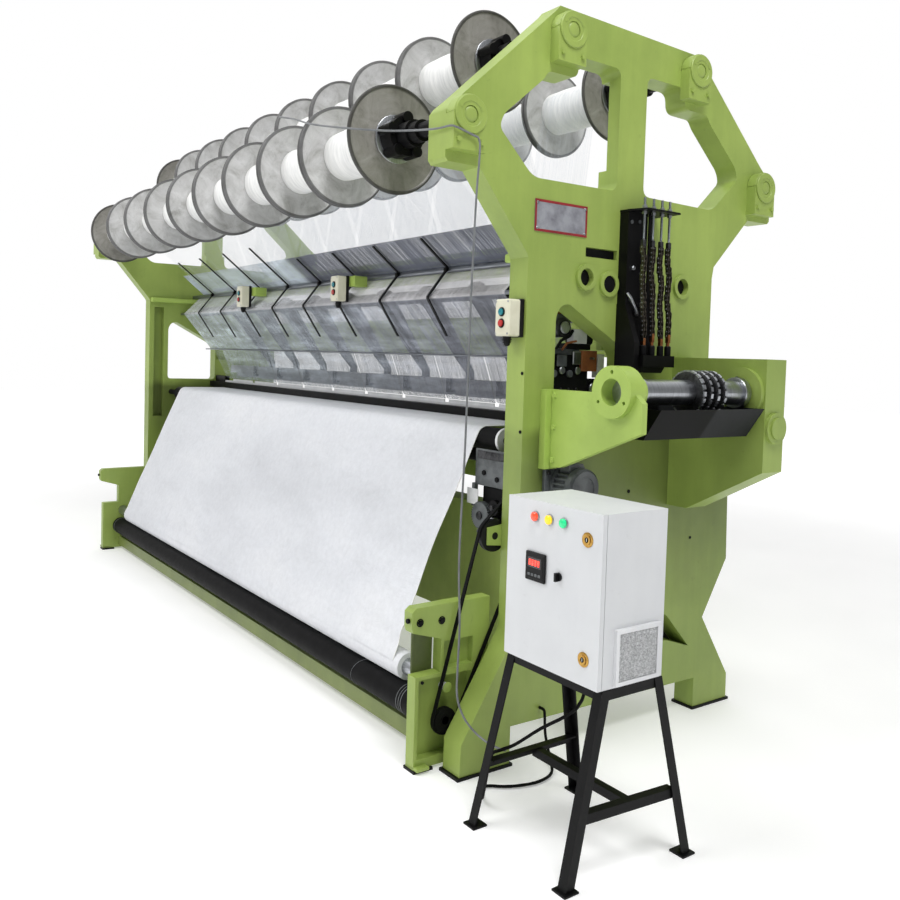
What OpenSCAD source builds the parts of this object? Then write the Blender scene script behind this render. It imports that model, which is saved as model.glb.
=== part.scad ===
// Raschel warp knitting machine: two cast end frames with arches, three rows of
// warp spools, warp sheets over tension rails, knitting bars, fabric take-up,
// pattern drum with chains, and a free-standing control box on a stand.
// Millimetres, +Z up, +X along the machine towards the drum end, -Y is the fabric side.

/* [Frame] */
// Distance between the outer faces of the end frames
frame_span = 4870; // [4870:10:4960]
// Thickness of an end frame
frame_t = 110; // [90:5:110]
// Height of the seam between an end frame and its arch
seam_z = 2012; // [2000:1:2020]

/* [Spools] */
// Diameter of a spool flange
flange_d = 438; // [400:2:440]
// Pitch of the spools along a shaft
spool_pitch = 440; // [440:1:442]
// Diameter of the yarn wound on a spool
yarn_d = 212; // [190:2:214]
// Diameter of a spool shaft
shaft_d = 60; // [50:2:60]
// Front spool row: distance in front of the frame centre
front_row_y = 885; // [883:1:886]
// Front spool row: height
front_row_z = 2487; // [2485:1:2490]
// Top spool row: distance in front of the frame centre
top_row_y = 402; // [400:1:404]
// Rear spool row: distance behind the frame centre
rear_row_y = 358; // [354:1:360]
// Top spool rows: height
top_row_z = 2898; // [2896:1:2900]

/* [Take up] */
// Diameter of the rubber batch roller
batch_d = 124; // [120:1:124]
// Diameter of the fabric wound on its core
cloth_roll_d = 116; // [100:1:116]
// Width of the fabric
cloth_w = 3940; // [3800:10:3960]

/* [Control box] */
// Width of the control box
box_w = 450; // [440:5:460]
// Height of the control box
box_h = 546; // [540:2:560]
// Depth of the control box
box_d = 290; // [280:5:300]

/* [Hidden] */
$fn = 64;
ox = -382.4;           // part frame: middle of the whole machine in X
oy = 76.5;           // part frame: middle of the whole machine in Y
XR = frame_span/2;   // outer face of the drum-end frame
XI = XR - frame_t;   // inner face of the drum-end frame
SR = shaft_d/2;
FIT = 0.05;          // radial running clearance
ROWS = [[-front_row_y, front_row_z], [-top_row_y, top_row_z], [rear_row_y, top_row_z], [855, 2458]];
RAIL = [-180, 2056];   RAIL_R = 14;
ROD = [-284, 1912];    ROD_R = 10;
RAIL2 = [0, 2130];     RAIL3 = [170, 2130];
ROCK = [-113, 1938];
TD1 = [-365, 1262];    TD2 = [-295, 1190];   TD_R = 50;
BAT = [-795, 194];     ROLL = [-770, 311.9];
PUL = [-581, 904];     PUL_R = 65;   BPUL_R = 50;   TPUL_R = 40.3;
DRX = XR + 375;        DRZ = 1505;   DR_R = 49;
BX0 = XR + 310;        BX1 = BX0 + box_w;
BY0 = -862;            BY1 = BY0 + box_d;
BZ0 = 604;             BZ1 = BZ0 + box_h;
GREEN = [0.56, 0.67, 0.30];
BLACK = [0.07, 0.07, 0.07];

// ---------- helpers ----------
module place() { translate([ox, oy, 0]) children(); }
module both() { children(); mirror([1, 0, 0]) children(); }
// a (y, z) outline pushed along X
module xslab(x0, x1) { translate([x0, 0, 0]) rotate([90, 0, 90]) linear_extrude(height = x1 - x0) children(); }
// an (x, z) outline pushed along Y
module yslab(y0, y1) { translate([0, y1, 0]) rotate([90, 0, 0]) linear_extrude(height = y1 - y0) children(); }
module xcyl(r, x0, x1, p) { translate([x0, p[0], p[1]]) rotate([0, 90, 0]) cylinder(r = r, h = x1 - x0); }
module ycyl(r, y0, y1, x, z) { translate([x, y0, z]) rotate([-90, 0, 0]) cylinder(r = r, h = y1 - y0); }
module zcyl(r, z0, z1, x, y) { translate([x, y, z0]) cylinder(r = r, h = z1 - z0); }
module bx(x0, x1, y0, y1, z0, z1) { translate([x0, y0, z0]) cube([x1 - x0, y1 - y0, z1 - z0]); }
function unit(v) = v / norm(v);
// outline with softened corners, R is the largest setback at each corner
function soft(P, R, n = 5) = let (m = len(P)) [for (i = [0:m - 1]) let (v = P[i], a = P[(i + m - 1)%m] - v, b = P[(i + 1)%m] - v,
  t = min(R, 0.45*norm(a), 0.45*norm(b)), p = v + unit(a)*t, q = v + unit(b)*t) for (j = [0:n]) let (k = j/n) (1 - k)*(1 - k)*p + 2*k*(1 - k)*v + k*k*q];
// four corners of a flat strip of thickness t from p to q in the (y, z) plane
function strip(p, q, t) = let (d = unit(q - p), n = [-d[1], d[0]] * t/2) [p + n, q + n, q - n, p - n];
module strut(p, q, w) {   // square bar from p to q
  d = q - p; L = norm(d);
  translate(p) rotate([0, acos(d[2]/L), atan2(d[1], d[0])])
    linear_extrude(height = L) translate([-w/2, -w/2]) square(w);
}
// smooth tube through hand-chosen points
function cr(a, b, c, d, t) = 0.5*((2*b) + (c - a)*t + (2*a - 5*b + 4*c - d)*t*t + (3*b - a - 3*c + d)*t*t*t);
function route(P, k) = let (n = len(P)) concat([for (i = [0:n - 2], j = [0:k - 1])
  cr(P[max(i - 1, 0)], P[i], P[i + 1], P[min(i + 2, n - 1)], j/k)], [P[n - 1]]);
module tube_along(P, r, s) {
  n = len(P);
  T = [for (i = [0:n - 1]) unit(P[min(i + 1, n - 1)] - P[max(i - 1, 0)])];
  U = [for (i = [0:n - 1]) unit(cross(T[i], [0.35, 0.9, 0.2]))];
  V = [for (i = [0:n - 1]) cross(T[i], U[i])];
  pts = [for (i = [0:n - 1], j = [0:s - 1]) P[i] + r*(cos(360*j/s)*U[i] + sin(360*j/s)*V[i])];
  polyhedron(points = pts, faces = concat([[for (j = [0:s - 1]) j]],
    [for (i = [0:n - 2], j = [0:s - 1]) [i*s + j, (i + 1)*s + j, (i + 1)*s + (j + 1)%s, i*s + (j + 1)%s]],
    [[for (j = [s - 1:-1:0]) (n - 1)*s + j]]));
}

// ---------- frame ----------
FRAME_PTS = [[-806, 12], [-803, 135], [-600, 455], [-550, 540], [-550, 2012], [556, 2012], [558, 1320],
  [742, 1000], [752, 695], [593, 432], [793, 128], [795, 12], [550, 12], [550, 150], [-560, 160], [-560, 12]];
module side_frame() {
  difference() {
    union() {
      xslab(XI, XR) polygon(FRAME_PTS);
      for (p = [ROCK, [-245, 1956], [343, 1958]]) xcyl(53, XR - 1, XR + 14, p);
    }
    // window in the upper part
    xslab(XI - 1, XR + 1) polygon(soft([[-395, 1370], [-395, 1790], [-372, 1832], [-330, 1845], [-88, 1716], [-24, 1682], [10, 1646], [10, 1370]], 30));
    // opening low in the casting
    xslab(XI - 1, XR + 1) polygon([[500, 311], [345, 472], [200, 560], [-150, 560], [-230, 480], [-230, 380], [345, 362]]);
    // recesses on the inner side
    xslab(XI - 1, XI + 70) polygon([[-512, 1060], [-512, 1960], [-432, 1960], [-432, 1420], [-432, 1060]]);
    xslab(XI - 1, XI + 70) polygon([[-380, 640], [-380, 1010], [560, 1010], [690, 950], [700, 720], [560, 640]]);
    xslab(XI - 1, XI + 70) polygon([[20, 1540], [20, 1850], [500, 1850], [515, 1540]]);
    // bearings
    xcyl(35 + FIT, XI - 1, XR + 20, ROCK);
    xcyl(36, XR - 40, XR + 20, [-245, 1956]);
    xcyl(36, XR - 40, XR + 20, [343, 1958]);
    xcyl(20 + FIT, XI - 1, XR - 30, TD1);
    xcyl(20 + FIT, XI - 1, XR - 30, TD2);
    xcyl(30 + FIT, XI - 1, XR - 30, [140, 1150]);
  }
}
module side_frames() { color(GREEN) place() both() side_frame(); }

ARCH_PTS = [[-550, 2012], [-560, 2030], [-800, 2320], [-945, 2320], [-958, 2336], [-958, 2500], [-940, 2524], [-890, 2568], [-450, 2975], [-430, 2998],
  [425, 2983], [470, 2930], [880, 2565], [950, 2512], [965, 2490], [965, 2318], [952, 2305], [800, 2305], [566, 2066], [556, 2012]];
WIN_F = [[-540, 2320], [-712, 2482], [-694, 2533], [-500, 2702], [-478, 2736], [-324, 2738], [-318, 2826], [-82, 2826], [-82, 2325]];
module arch() {
  difference() {
    union() {
      xslab(XI, XR) polygon(ARCH_PTS);
      for (p = ROWS) xslab(XR - 1, XR + 50) polygon([[p[0] - 73, p[1] - 128], [p[0] + 73, p[1] - 128], [p[0] + 73, p[1]], [p[0] - 73, p[1]]]);
    }
    xslab(XI - 1, XR + 1) polygon(soft(WIN_F, 40));
    xslab(XI - 1, XR + 1) polygon(soft([for (i = [len(WIN_F) - 1:-1:0]) [-WIN_F[i][0] - 4, WIN_F[i][1]]], 40));
    // the post between the windows is thinner than the rest
    bx(XI - 1, XI + 45, -84, 80, 2420, 2790);
    // long slot beside the rail end
    bx(XR - 60, XR + 1, -246, -64, 2041, 2080);
    for (p = ROWS) xcyl(SR + FIT, XI - 1, XR + 60, p);
  }
}
module arches() { color(GREEN) place() both() arch(); }

module bearing_caps() {
  color(GREEN) place() both() for (p = ROWS) difference() {
    intersection() { xcyl(73, XR + 0.2, XR + 50, p); bx(XR, XR + 60, p[0] - 90, p[0] + 90, p[1] + 0.3, p[1] + 90); }
    xcyl(SR + FIT, XR - 1, XR + 60, p);
  }
}
module hex_x(p, x) { translate([x, p[0], p[1]]) rotate([0, 90, 0]) cylinder(r = 10, h = 9, $fn = 6); }
module frame_bolts() {
  color([0.35, 0.37, 0.3]) place() both() {
    for (p = ROWS) for (s = [-1, 1]) { hex_x(p + [s*48, 26], XR + 50.2); hex_x(p + [s*52, -95], XR + 50.2); }
    for (y = [-500, -330, 150, 330, 500]) translate([XI - 10.2, y, 2040]) rotate([0, 90, 0]) cylinder(r = 14, h = 10, $fn = 6);
  }
}
module foot_pads() {
  color(BLACK) place() both() {
    bx(XI - 8, XR + 6, -818, -548, 0, 11.8);
    bx(XI - 8, XR + 6, 542, 808, 0, 11.8);
    bx(2226, 2300, -925, -835, 0, 11.8);
    bx(2226, 2300, -660, -580, 0, 11.8);
  }
}
module box_beam(y0, y1, z0, z1, t, xe) { difference() { bx(-xe, xe, y0, y1, z0, z1); bx(-xe - 1, xe + 1, y0 + t, y1 - t, z0 + t, z1 - t); } }
module cross_beams() {
  color(GREEN) place() {
    box_beam(-310, -190, 400, 950, 12, XI);
    box_beam(-40, 225, 1010, 1285, 14, XI);
    box_beam(420, 530, 1640, 1860, 12, XI);
    box_beam(430, 520, 2100, 2260, 10, XI);
    box_beam(440, 540, 500, 760, 12, XI);
    box_beam(-800, -710, 32, 106, 6, 2235);
  }
}

// ---------- spool rows ----------
module beam_shaft(p) {
  color([0.09, 0.09, 0.09]) place() {
    xcyl(SR, -XR - 44, XR + 44, p);
    // clamp hubs at the two ends of the row
    both() difference() {
      union() {
        xcyl(78, 1984, 2062, p); xcyl(52, 2062, 2128, p); xcyl(42, 2128, 2180, p);
        for (a = [20, 92, 164, 236, 308]) xcyl(23, 1990, 2074, p + 72*[cos(a), sin(a)]);
      }
      xcyl(SR - 2, 1980, 2190, p);
    }
  }
}
module front_beam_shaft() { beam_shaft(ROWS[0]); }
module top_beam_shaft() { beam_shaft(ROWS[1]); }
module rear_beam_shaft() { beam_shaft(ROWS[2]); }
// the fourth row is not fitted: only its stub shafts stand in the arches
module spare_beam_shaft() {
  p = ROWS[3];
  color([0.09, 0.09, 0.09]) place() both() { xcyl(SR, XI - 90, XR + 44, p); difference() { xcyl(52, XI - 88, XI - 5, p); xcyl(SR - 2, XI - 95, XI, p); } }
}
module spool() {
  r = flange_d/2; h = spool_pitch/2 - 3; b = SR + 0.4;
  rotate([0, 90, 0]) {
    rotate_extrude() polygon([[b, -h], [r, -h], [r, -h + 13], [r - 11, -h + 13], [r - 11, -h + 8], [b, -h + 8]]);
    rotate_extrude() polygon([[b, h - 8], [r - 11, h - 8], [r - 11, h - 13], [r, h - 13], [r, h], [b, h]]);
    rotate_extrude() polygon([[b, -h + 8.2], [76, -h + 8.2], [76, h - 8.2], [b, h - 8.2]]);
  }
}
module spool_row(p) { color([0.62, 0.63, 0.64]) place() for (i = [-4:4]) translate([i*spool_pitch, p[0], p[1]]) spool(); }
module yarn_row(p) {
  h = spool_pitch/2 - 12;
  color([0.95, 0.95, 0.94]) place() for (i = [-4:4]) difference() {
    xcyl(yarn_d/2, i*spool_pitch - h, i*spool_pitch + h, p);
    xcyl(76.4, i*spool_pitch - h - 1, i*spool_pitch + h + 1, p);
  }
}
module front_spools() { spool_row(ROWS[0]); }
module top_spools() { spool_row(ROWS[1]); }
module rear_spools() { spool_row(ROWS[2]); }
module front_yarn() { yarn_row(ROWS[0]); }
module top_yarn() { yarn_row(ROWS[1]); }
module rear_yarn() { yarn_row(ROWS[2]); }

// ---------- warp path ----------
module tension_rails() {
  color([0.35, 0.36, 0.38]) place() {
    xcyl(RAIL_R, -XI, XI, RAIL); xcyl(ROD_R, -XI, XI, ROD);
    xcyl(RAIL_R, -XI, XI, RAIL2); xcyl(RAIL_R, -XI, XI, RAIL3);
    xcyl(5, -XI, XI, THIN);
  }
}
// thin rod at the lower bend of the front sheet
THIN = [-68, 1628];
// unit vector from the front rail up towards the front spools
UPD = [-0.789, 0.6144];
module rod_supports() {
  color(BLACK) place() for (i = [-4:3]) {
    x = 463*i; L = i >= 0 ? 230 : 380;
    xslab(x - 9, x + 9) polygon(strip(RAIL + UPD*(RAIL_R + 0.3), RAIL + UPD*L, 6));
    xslab(x - 9, x + 9) polygon([[-194.4, 2064], [-200, 2070], [-212, 2066], [-212, 2046], [-312, 1917], [-312, 1904], [-188, 1722],
      [-184, 1725], [-306, 1905.5], [-306, 1914.8], [-205, 2044], [-194.4, 2050]]);
  }
}
// normal at which a straight run leaves the circle at c1 for the circle at c2
function tangent(c1, r1, c2, r2, side) = let (L = norm(c2 - c1), d = (c2 - c1)/L, k = (r1 - r2)/L) d*k + side*[-d[1], d[0]]*sqrt(1 - k*k);
// straight warp sheets, one width of yarn for each spool
// the sheet at the far end may run on past its spool by ext
module sheet_row(segs, hw, ext = 0) { for (i = [-4:4]) for (s = segs) xslab(i*spool_pitch - hw - (i == -4 ? ext : 0), i*spool_pitch + hw) polygon(strip(s[0], s[1], 1.6)); }
module warp_sheets() {
  // tangent directions of the three rows
  yr = yarn_d/2 + 2; rr = RAIL_R + 1.6; rd = ROD_R + 1.8;
  n1 = tangent(ROWS[0], yr, RAIL, rr, 1); n2 = tangent(ROWS[1], yr, RAIL2, rr, 1); n3 = tangent(ROWS[2], yr, RAIL3, rr, -1);
  n4 = tangent(RAIL, rr, ROD, -rd, 1); rt = 6.8; n5 = tangent(ROD, rd, THIN, -rt, -1); n8 = tangent(THIN, rt, [26, 1400], 0, 1);
  n6 = tangent(RAIL2, rr, [97, 1535], 0, 1); n7 = tangent(RAIL3, rr, [139, 1535], 0, -1);
  color([0.86, 0.88, 0.9, 0.6]) place() {
    sheet_row([[ROWS[0] + yr*n1, RAIL + rr*n1]], 198);
    sheet_row([[RAIL + rr*n4, ROD - rd*n4], [ROD + rd*n5, THIN - rt*n5]], 198, 270);
    sheet_row([[THIN + rt*n8, [26, 1400]]], 198, 130);
    sheet_row([[ROWS[1] + yr*n2, RAIL2 + rr*n2], [RAIL2 + rr*n6, [97, 1535]]], 198);
    sheet_row([[ROWS[2] + yr*n3, RAIL3 + rr*n3], [RAIL3 + rr*n7, [139, 1535]]], 198);
  }
}

// ---------- knitting bars ----------
BAR_Y = [60, 100, 140];
module rocker() {
  color([0.3, 0.32, 0.3]) place() {
    xcyl(35, -XR - 8, XR + 8, ROCK);
    for (i = [-3.5:1:3.5]) difference() {
      union() {
        xcyl(58, 440*i - 12, 440*i + 12, ROCK);
        xslab(440*i - 12, 440*i + 12) polygon([[-165, 1925], [-70, 1975], [206, 1540], [212, 1424], [34, 1424], [34, 1500], [50, 1500], [165, 1500], [165, 1530], [100, 1600]]);
      }
      xcyl(34, 440*i - 20, 440*i + 20, ROCK);
      for (y = BAR_Y) bx(440*i - 20, 440*i + 20, y - 8.5, y + 8.5, 1439, 1501);
    }
  }
}
module guide_bar(y) {
  color([0.72, 0.73, 0.74]) place() {
    bx(-2060, 2060, y - 8, y + 8, 1439.5, 1498);
    for (i = [-4:4]) bx(440*i - 178, 440*i + 178, y - 2, y + 2, 1408, 1439.5);
  }
}
module guide_bar_front() { guide_bar(BAR_Y[0]); }
module guide_bar_middle() { guide_bar(BAR_Y[1]); }
module guide_bar_rear() { guide_bar(BAR_Y[2]); }
module needle_bed() {
  color(BLACK) place() {
    bx(-XI, XI, -30, 20, 1312, 1356);
    both() difference() { bx(2110, XI, 21, 60, 1296, 1405); bx(2100, 2166, 23.6, 44.4, 1290, 1410); }
    // legs down to the main beam
    for (x = [-2200, -1320, -440, 440, 1320, 2200]) bx(x - 20, x + 20, -26, 16, 1285.2, 1312);
  }
}
module needle_bar() {
  color([0.9, 0.9, 0.9]) place() {
    bx(-2160, 2160, 24, 44, 1297, 1370);
    for (i = [-4:4]) bx(440*i - 200, 440*i + 200, 31, 37, 1370, 1386);
  }
}
module main_shaft() {
  color([0.5, 0.5, 0.5]) place() {
    xcyl(30, -XR + 34, XR - 34, [140, 1150]);
    for (x = [-2000:500:2000]) difference() { xcyl(46, x - 15, x + 15, [146, 1156]); xcyl(29, x - 20, x + 20, [140, 1150]); }
  }
}
module motor() {
  color([0.33, 0.34, 0.35]) place() {
    bx(XR, XR + 18, -440, -220, 1000, 1182);
    xcyl(84, XR + 18, XR + 106, [-330, 1108]);
    xcyl(76, XR + 106, XR + 135, [-330, 1108]);
    bx(XR + 36, XR + 98, -384, -304, 1184, 1206);
  }
}

// ---------- take-up ----------
module takedown(p) { xcyl(TD_R, -2100, 2100, p); xcyl(20, -XR + 34, XR - 34, p); }
module takedown_roller_upper() { color(BLACK) place() takedown(TD1); }
module takedown_roller_lower() { color(BLACK) place() { takedown(TD2); difference() { xcyl(TPUL_R, 2296, 2318, TD2); xcyl(19, 2290, 2320, TD2); } } }
// fabric: flat from the needle bed, round the upper roller, then down to the roll
CT = 1.4;
CDIR = unit(ROLL - TD1);
CANG = atan2(CDIR[1], CDIR[0]) - 90;      // direction of the roller's front normal
FRONT_A = 360 + CANG;
function arc_pts(c, r, a0, a1, n) = [for (i = [0:n]) c + r*[cos(a0 + (a1 - a0)*i/n), sin(a0 + (a1 - a0)*i/n)]];
module cloth() {
  ri = TD_R + 0.6; ro = ri + CT;
  rr = cloth_roll_d/2 + 0.6;
  // angle of the normal that points to the front, square to the falling fabric
  na = atan2(CDIR[0], -CDIR[1]) + 180;
  e = [cos(na), sin(na)];
  outer = concat([[-36, TD1[1] + ro]], arc_pts(TD1, ro, 90, na, 8), [ROLL + (rr + CT)*e]);
  inner = concat([[-36, TD1[1] + ri]], arc_pts(TD1, ri, 90, na, 8), [ROLL + rr*e]);
  color([0.94, 0.94, 0.95]) place() xslab(-cloth_w/2, cloth_w/2)
    polygon(concat(outer, [for (i = [len(inner) - 1:-1:0]) inner[i]]));
}
module cloth_roll() {
  color([0.93, 0.93, 0.94]) place() {
    xcyl(cloth_roll_d/2, -cloth_w/2 - 20, cloth_w/2 + 42, ROLL);
    xcyl(36, -2226, 2226, ROLL);
    xcyl(15, -2284, 2284, ROLL);
  }
}
module batch_roller() {
  color(BLACK) place() {
    xcyl(batch_d/2, -2200, 2200, BAT);
    xcyl(20, -2286, 2320, BAT);
    difference() { xcyl(BPUL_R, 2296, 2318, BAT); xcyl(19, 2290, 2330, BAT); }
  }
}
BRK = [[-922, 12], [-922, 376], [-805, 378], [-805, 512], [-938, 552], [-945, 572], [-945, 632], [-925, 648], [-570, 652], [-570, 12]];
module takeup_brackets() {
  color(GREEN) place() both() difference() {
    union() {
      xslab(2235, 2290) polygon(BRK);
      xslab(2288, XI) polygon([[-622, 290], [-622, 345], [-575, 345], [-575, 290]]);
      xslab(2288, XI) polygon([[-715, 40], [-715, 105], [-575, 105], [-575, 40]]);
    }
    xslab(2251, 2295) polygon([[-906, 50], [-906, 362], [-650, 362], [-650, 50]]);
    xslab(2259, 2295) polygon([[-790, 392], [-790, 500], [-650, 500], [-650, 392]]);
    xcyl(20 + FIT, 2230, 2300, BAT);
    xcyl(15 + FIT, 2230, 2300, ROLL);
  }
  // arm of the jockey pulley, drum end only
  color(GREEN) place() difference() {
    xslab(2319, XI) polygon([[-620, 870], [-620, 940], [-440, 960], [-440, 850]]);
    xcyl(15 + FIT, 2310, XI + 1, PUL);
  }
}
module takeup_pulley() {
  color(BLACK) place() { xcyl(PUL_R, 2296, 2318, PUL); difference() { xcyl(15, 2290, 2324.6, PUL); xcyl(14, 2295, 2318.5, PUL); } }
}
module belt_line(g) { hull() { translate(PUL) circle(r = PUL_R + g, $fn = 48); translate(BAT) circle(r = BPUL_R + g, $fn = 48); translate(TD2) circle(r = TPUL_R + g, $fn = 48); } }
module takeup_belt() {
  color([0.06, 0.06, 0.06]) place() xslab(2299, 2315) difference() {
    belt_line(8);
    belt_line(0.8);
  }
}

// ---------- pattern drum ----------
module drum_front_bracket() {
  color([0.66, 0.78, 0.38]) place() difference() {
    union() {
      bx(XR, XR + 33, -462, -395, 1184, 1500);
      yslab(-432, -404) polygon([[XR + 32, 1500], [XR + 300, 1500], [XR + 330, 1540], [XR + 430, 1540], [XR + 505, 1470], [XR + 505, 1362], [XR + 90, 1196], [XR + 32, 1190]]);
      ycyl(97, -456, -380, DRX, DRZ);
      ycyl(74, -381, -352, DRX, DRZ);
      ycyl(64, -353, -330, DRX, DRZ);
    }
    ycyl(50, -460, -400, DRX, DRZ);
    ycyl(DR_R + FIT, -401, -320, DRX, DRZ);
    for (a = [90, 210, 330]) ycyl(7, -460, -440, DRX + 74*cos(a), DRZ + 74*sin(a));
  }
}
module drum_rear_bracket() {
  color(GREEN) place() difference() {
    union() {
      yslab(310, 440) polygon([[XR, 1645], [XR + 485, 1645], [XR + 485, 1185], [XR + 110, 985], [XR, 985]]);
      ycyl(104, 290, 311, DRX, DRZ);
      xcyl(64, XR + 484, XR + 500, [375, 1365]);
      xcyl(44, XR + 499, XR + 508, [375, 1365]);
    }
    yslab(335, 441) polygon([[XR + 25, 1620], [XR + 460, 1620], [XR + 460, 1200], [XR + 104, 1010], [XR + 25, 1010]]);
    ycyl(DR_R + FIT, 280, 345, DRX, DRZ);
  }
}
module drum_shaft() { color([0.55, 0.56, 0.57]) place() ycyl(DR_R, -399, 334, DRX, DRZ); }
module pattern_drum() {
  color([0.16, 0.16, 0.17]) place() {
    for (y = [-44, -2, 40, 82]) difference() { ycyl(88, y, y + 16, DRX, DRZ); ycyl(DR_R + 0.3, y - 5, y + 30, DRX, DRZ); }
    for (y = [-27.5, 14.5, 56.5]) difference() { ycyl(66, y, y + 25, DRX, DRZ); ycyl(DR_R + 0.3, y - 5, y + 40, DRX, DRZ); }
  }
}
CHAIN_Y = [-12, 42, 94, 142];
module chain_column() {
  color(BLACK) place() difference() {
    union() {
      bx(XR + 40, XR + 48, -55, 60, 1600, 2250);
      bx(XR, XR + 48, -55, -45, 1640, 2250);
      yslab(-58, -29) polygon([[XR, 1590], [XR + 110, 1590], [XR + 110, 1700], [XR + 48, 1860], [XR, 1860]]);
      bx(XR, XR + 44, 40, 60, 1640, 2250);
      translate([0, 0, 2242]) linear_extrude(height = 8) polygon([[XR, -58], [XR + 60, -58], [XR + 135, -30], [XR + 135, 165], [XR, 165]]);
      bx(XR, XR + 130, -25, 168, 1600, 1648);
    }
    for (y = CHAIN_Y) zcyl(6, 2235, 2260, XR + 95, y);
  }
}
module pattern_chains() {
  color([0.2, 0.2, 0.2]) place() for (y = CHAIN_Y) {
    zcyl(5.8, 2100, 2300, XR + 95, y);
    translate([XR + 95, y, 2250.2]) cylinder(r = 12, h = 10, $fn = 6);
    difference() { zcyl(11, 1702, 2120, XR + 95, y); zcyl(5, 2095, 2130, XR + 95, y); }
    zcyl(14, 1648.2, 1702, XR + 95, y);
  }
}
module oil_tray() {
  color([0.05, 0.05, 0.05]) place() difference() {
    yslab(-325, 285) polygon([[XR + 205, 1446], [XR + 205, 1330], [XR + 420, 1330], [XR + 500, 1446]]);
    yslab(-319, 279) polygon([[XR + 211, 1454], [XR + 211, 1336], [XR + 416, 1336], [XR + 497.3, 1454]]);
  }
  // hangers from the tray to the end frame
  color([0.05, 0.05, 0.05]) place() for (y = [-280, 230]) bx(XR, XR + 205, y, y + 30, 1392, 1412);
}

// ---------- control box ----------
module hinge_leaf(z) { bx(BX0 - 5, BX0, BY0 + 21, BY0 + 24, z, z + 24); }
module control_box() {
  color([0.86, 0.87, 0.86]) place() {
    difference() {
      bx(BX0, BX1, BY0 + 20, BY1, BZ0, BZ1);
      bx(BX0 + 4, BX1 - 4, BY0 + 10, BY1 - 4, BZ0 + 4, BZ1 - 4);
      xcyl(62, BX1 - 10, BX1 + 5, [-698, 700]);
    }
    // fan bracket and pin
    bx(BX1 - 64, BX1 - 52, -712, -684, BZ0 + 3.9, 714);
    xcyl(6, BX1 - 53, BX1 - 16, [-698, 700]);
    for (z = [BZ0 + 80, BZ1 - 130]) {
      difference() { union() { zcyl(5, z, z + 24, BX0 - 5.5, BY0 + 19.5); hinge_leaf(z); } }
      zcyl(2.5, z + 23.9, z + 47, BX0 - 5.5, BY0 + 19.5);
    }
  }
}
LOCK_X = XR + 696; LOCK_Z = [688, 1063];
KNOB = [XR + 573, 921];
module control_door() {
  color([0.9, 0.91, 0.92]) place() difference() {
    union() {
      difference() { bx(BX0, BX1, BY0, BY0 + 18, BZ0, BZ1); bx(BX0 + 4, BX1 - 4, BY0 + 4, BY0 + 19, BZ0 + 4, BZ1 - 4); }
      for (z = [BZ0 + 80, BZ1 - 130]) { zcyl(5, z + 24.4, z + 48, BX0 - 5.5, BY0 + 19.5); bx(BX0 - 5.5, BX0 + 2, BY0 + 14.5, BY0 + 17.5, z + 24.4, z + 48); }
    }
    for (z = [BZ0 + 80, BZ1 - 130]) zcyl(2.5 + FIT, z + 20, z + 50, BX0 - 5.5, BY0 + 19.5);
    for (z = LOCK_Z) ycyl(11 + FIT, BY0 - 1, BY0 + 6, LOCK_X, z);
    ycyl(5 + FIT, BY0 - 1, BY0 + 6, KNOB[0], KNOB[1]);
  }
}
module door_lock(z) {
  color([0.78, 0.58, 0.22]) place() {
    ycyl(11, BY0 - 0.5, BY0 + 8, LOCK_X, z);
    difference() { ycyl(15, BY0 - 6, BY0 - 0.4, LOCK_X, z); bx(LOCK_X - 2, LOCK_X + 2, BY0 - 8, BY0 - 3, z - 9, z + 9); }
    bx(LOCK_X - 8, LOCK_X + 30, BY0 + 8, BY0 + 11, z - 8, z + 8);
  }
}
module door_lock_upper() { door_lock(LOCK_Z[1]); }
module door_lock_lower() { door_lock(LOCK_Z[0]); }
module selector_knob() {
  color(BLACK) place() {
    ycyl(5, BY0 - 1, BY0 + 12, KNOB[0], KNOB[1]);
    ycyl(14, BY0 - 8, BY0 - 0.5, KNOB[0], KNOB[1]);
    bx(KNOB[0] - 4, KNOB[0] + 4, BY0 - 20, BY0 - 8, KNOB[1] - 14, KNOB[1] + 14);
  }
}
METER = [XR + 416, XR + 512, 883, 979];
LAMP_X = [XR + 451, XR + 520, XR + 588]; LAMP_Z = 1097;
module door_instruments() {
  color([0.1, 0.1, 0.1]) place() {
    difference() { bx(METER[0], METER[1], BY0 - 10, BY0 - 0.2, METER[2], METER[3]); bx(METER[0] + 14, METER[1] - 14, BY0 - 11, BY0 - 7, METER[2] + 46, METER[3] - 14); }
    for (x = LAMP_X) { ycyl(16, BY0 - 5, BY0 - 0.2, x, LAMP_Z); ycyl(12.5, BY0 - 14, BY0 - 5, x, LAMP_Z); }
  }
}
module vent_grille() {
  color([0.9, 0.9, 0.88]) place() {
    difference() {
      bx(BX1 + 0.2, BX1 + 14, -797, -599, 611, 789);
      bx(BX1 - 1, BX1 + 11, -789, -607, 619, 781);
      bx(BX1 + 5, BX1 + 20, -784, -612, 624, 776);
    }
    for (i = [0:10]) bx(BX1 + 4, BX1 + 9, -789.5, -606.5, 628 + 14*i, 633 + 14*i);
  }
}
module vent_fan() {
  color(BLACK) place() {
    difference() { xcyl(20, BX1 - 49, BX1 - 12, [-698, 700]); xcyl(6 + FIT, BX1 - 55, BX1 - 15, [-698, 700]); }
    for (a = [0:60:300]) translate([BX1 - 29, -698, 700]) rotate([a, 0, 0]) translate([0, 0, 18]) rotate([0, 0, 35]) translate([-2, -14, 0]) cube([4, 28, 38]);
  }
}
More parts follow.
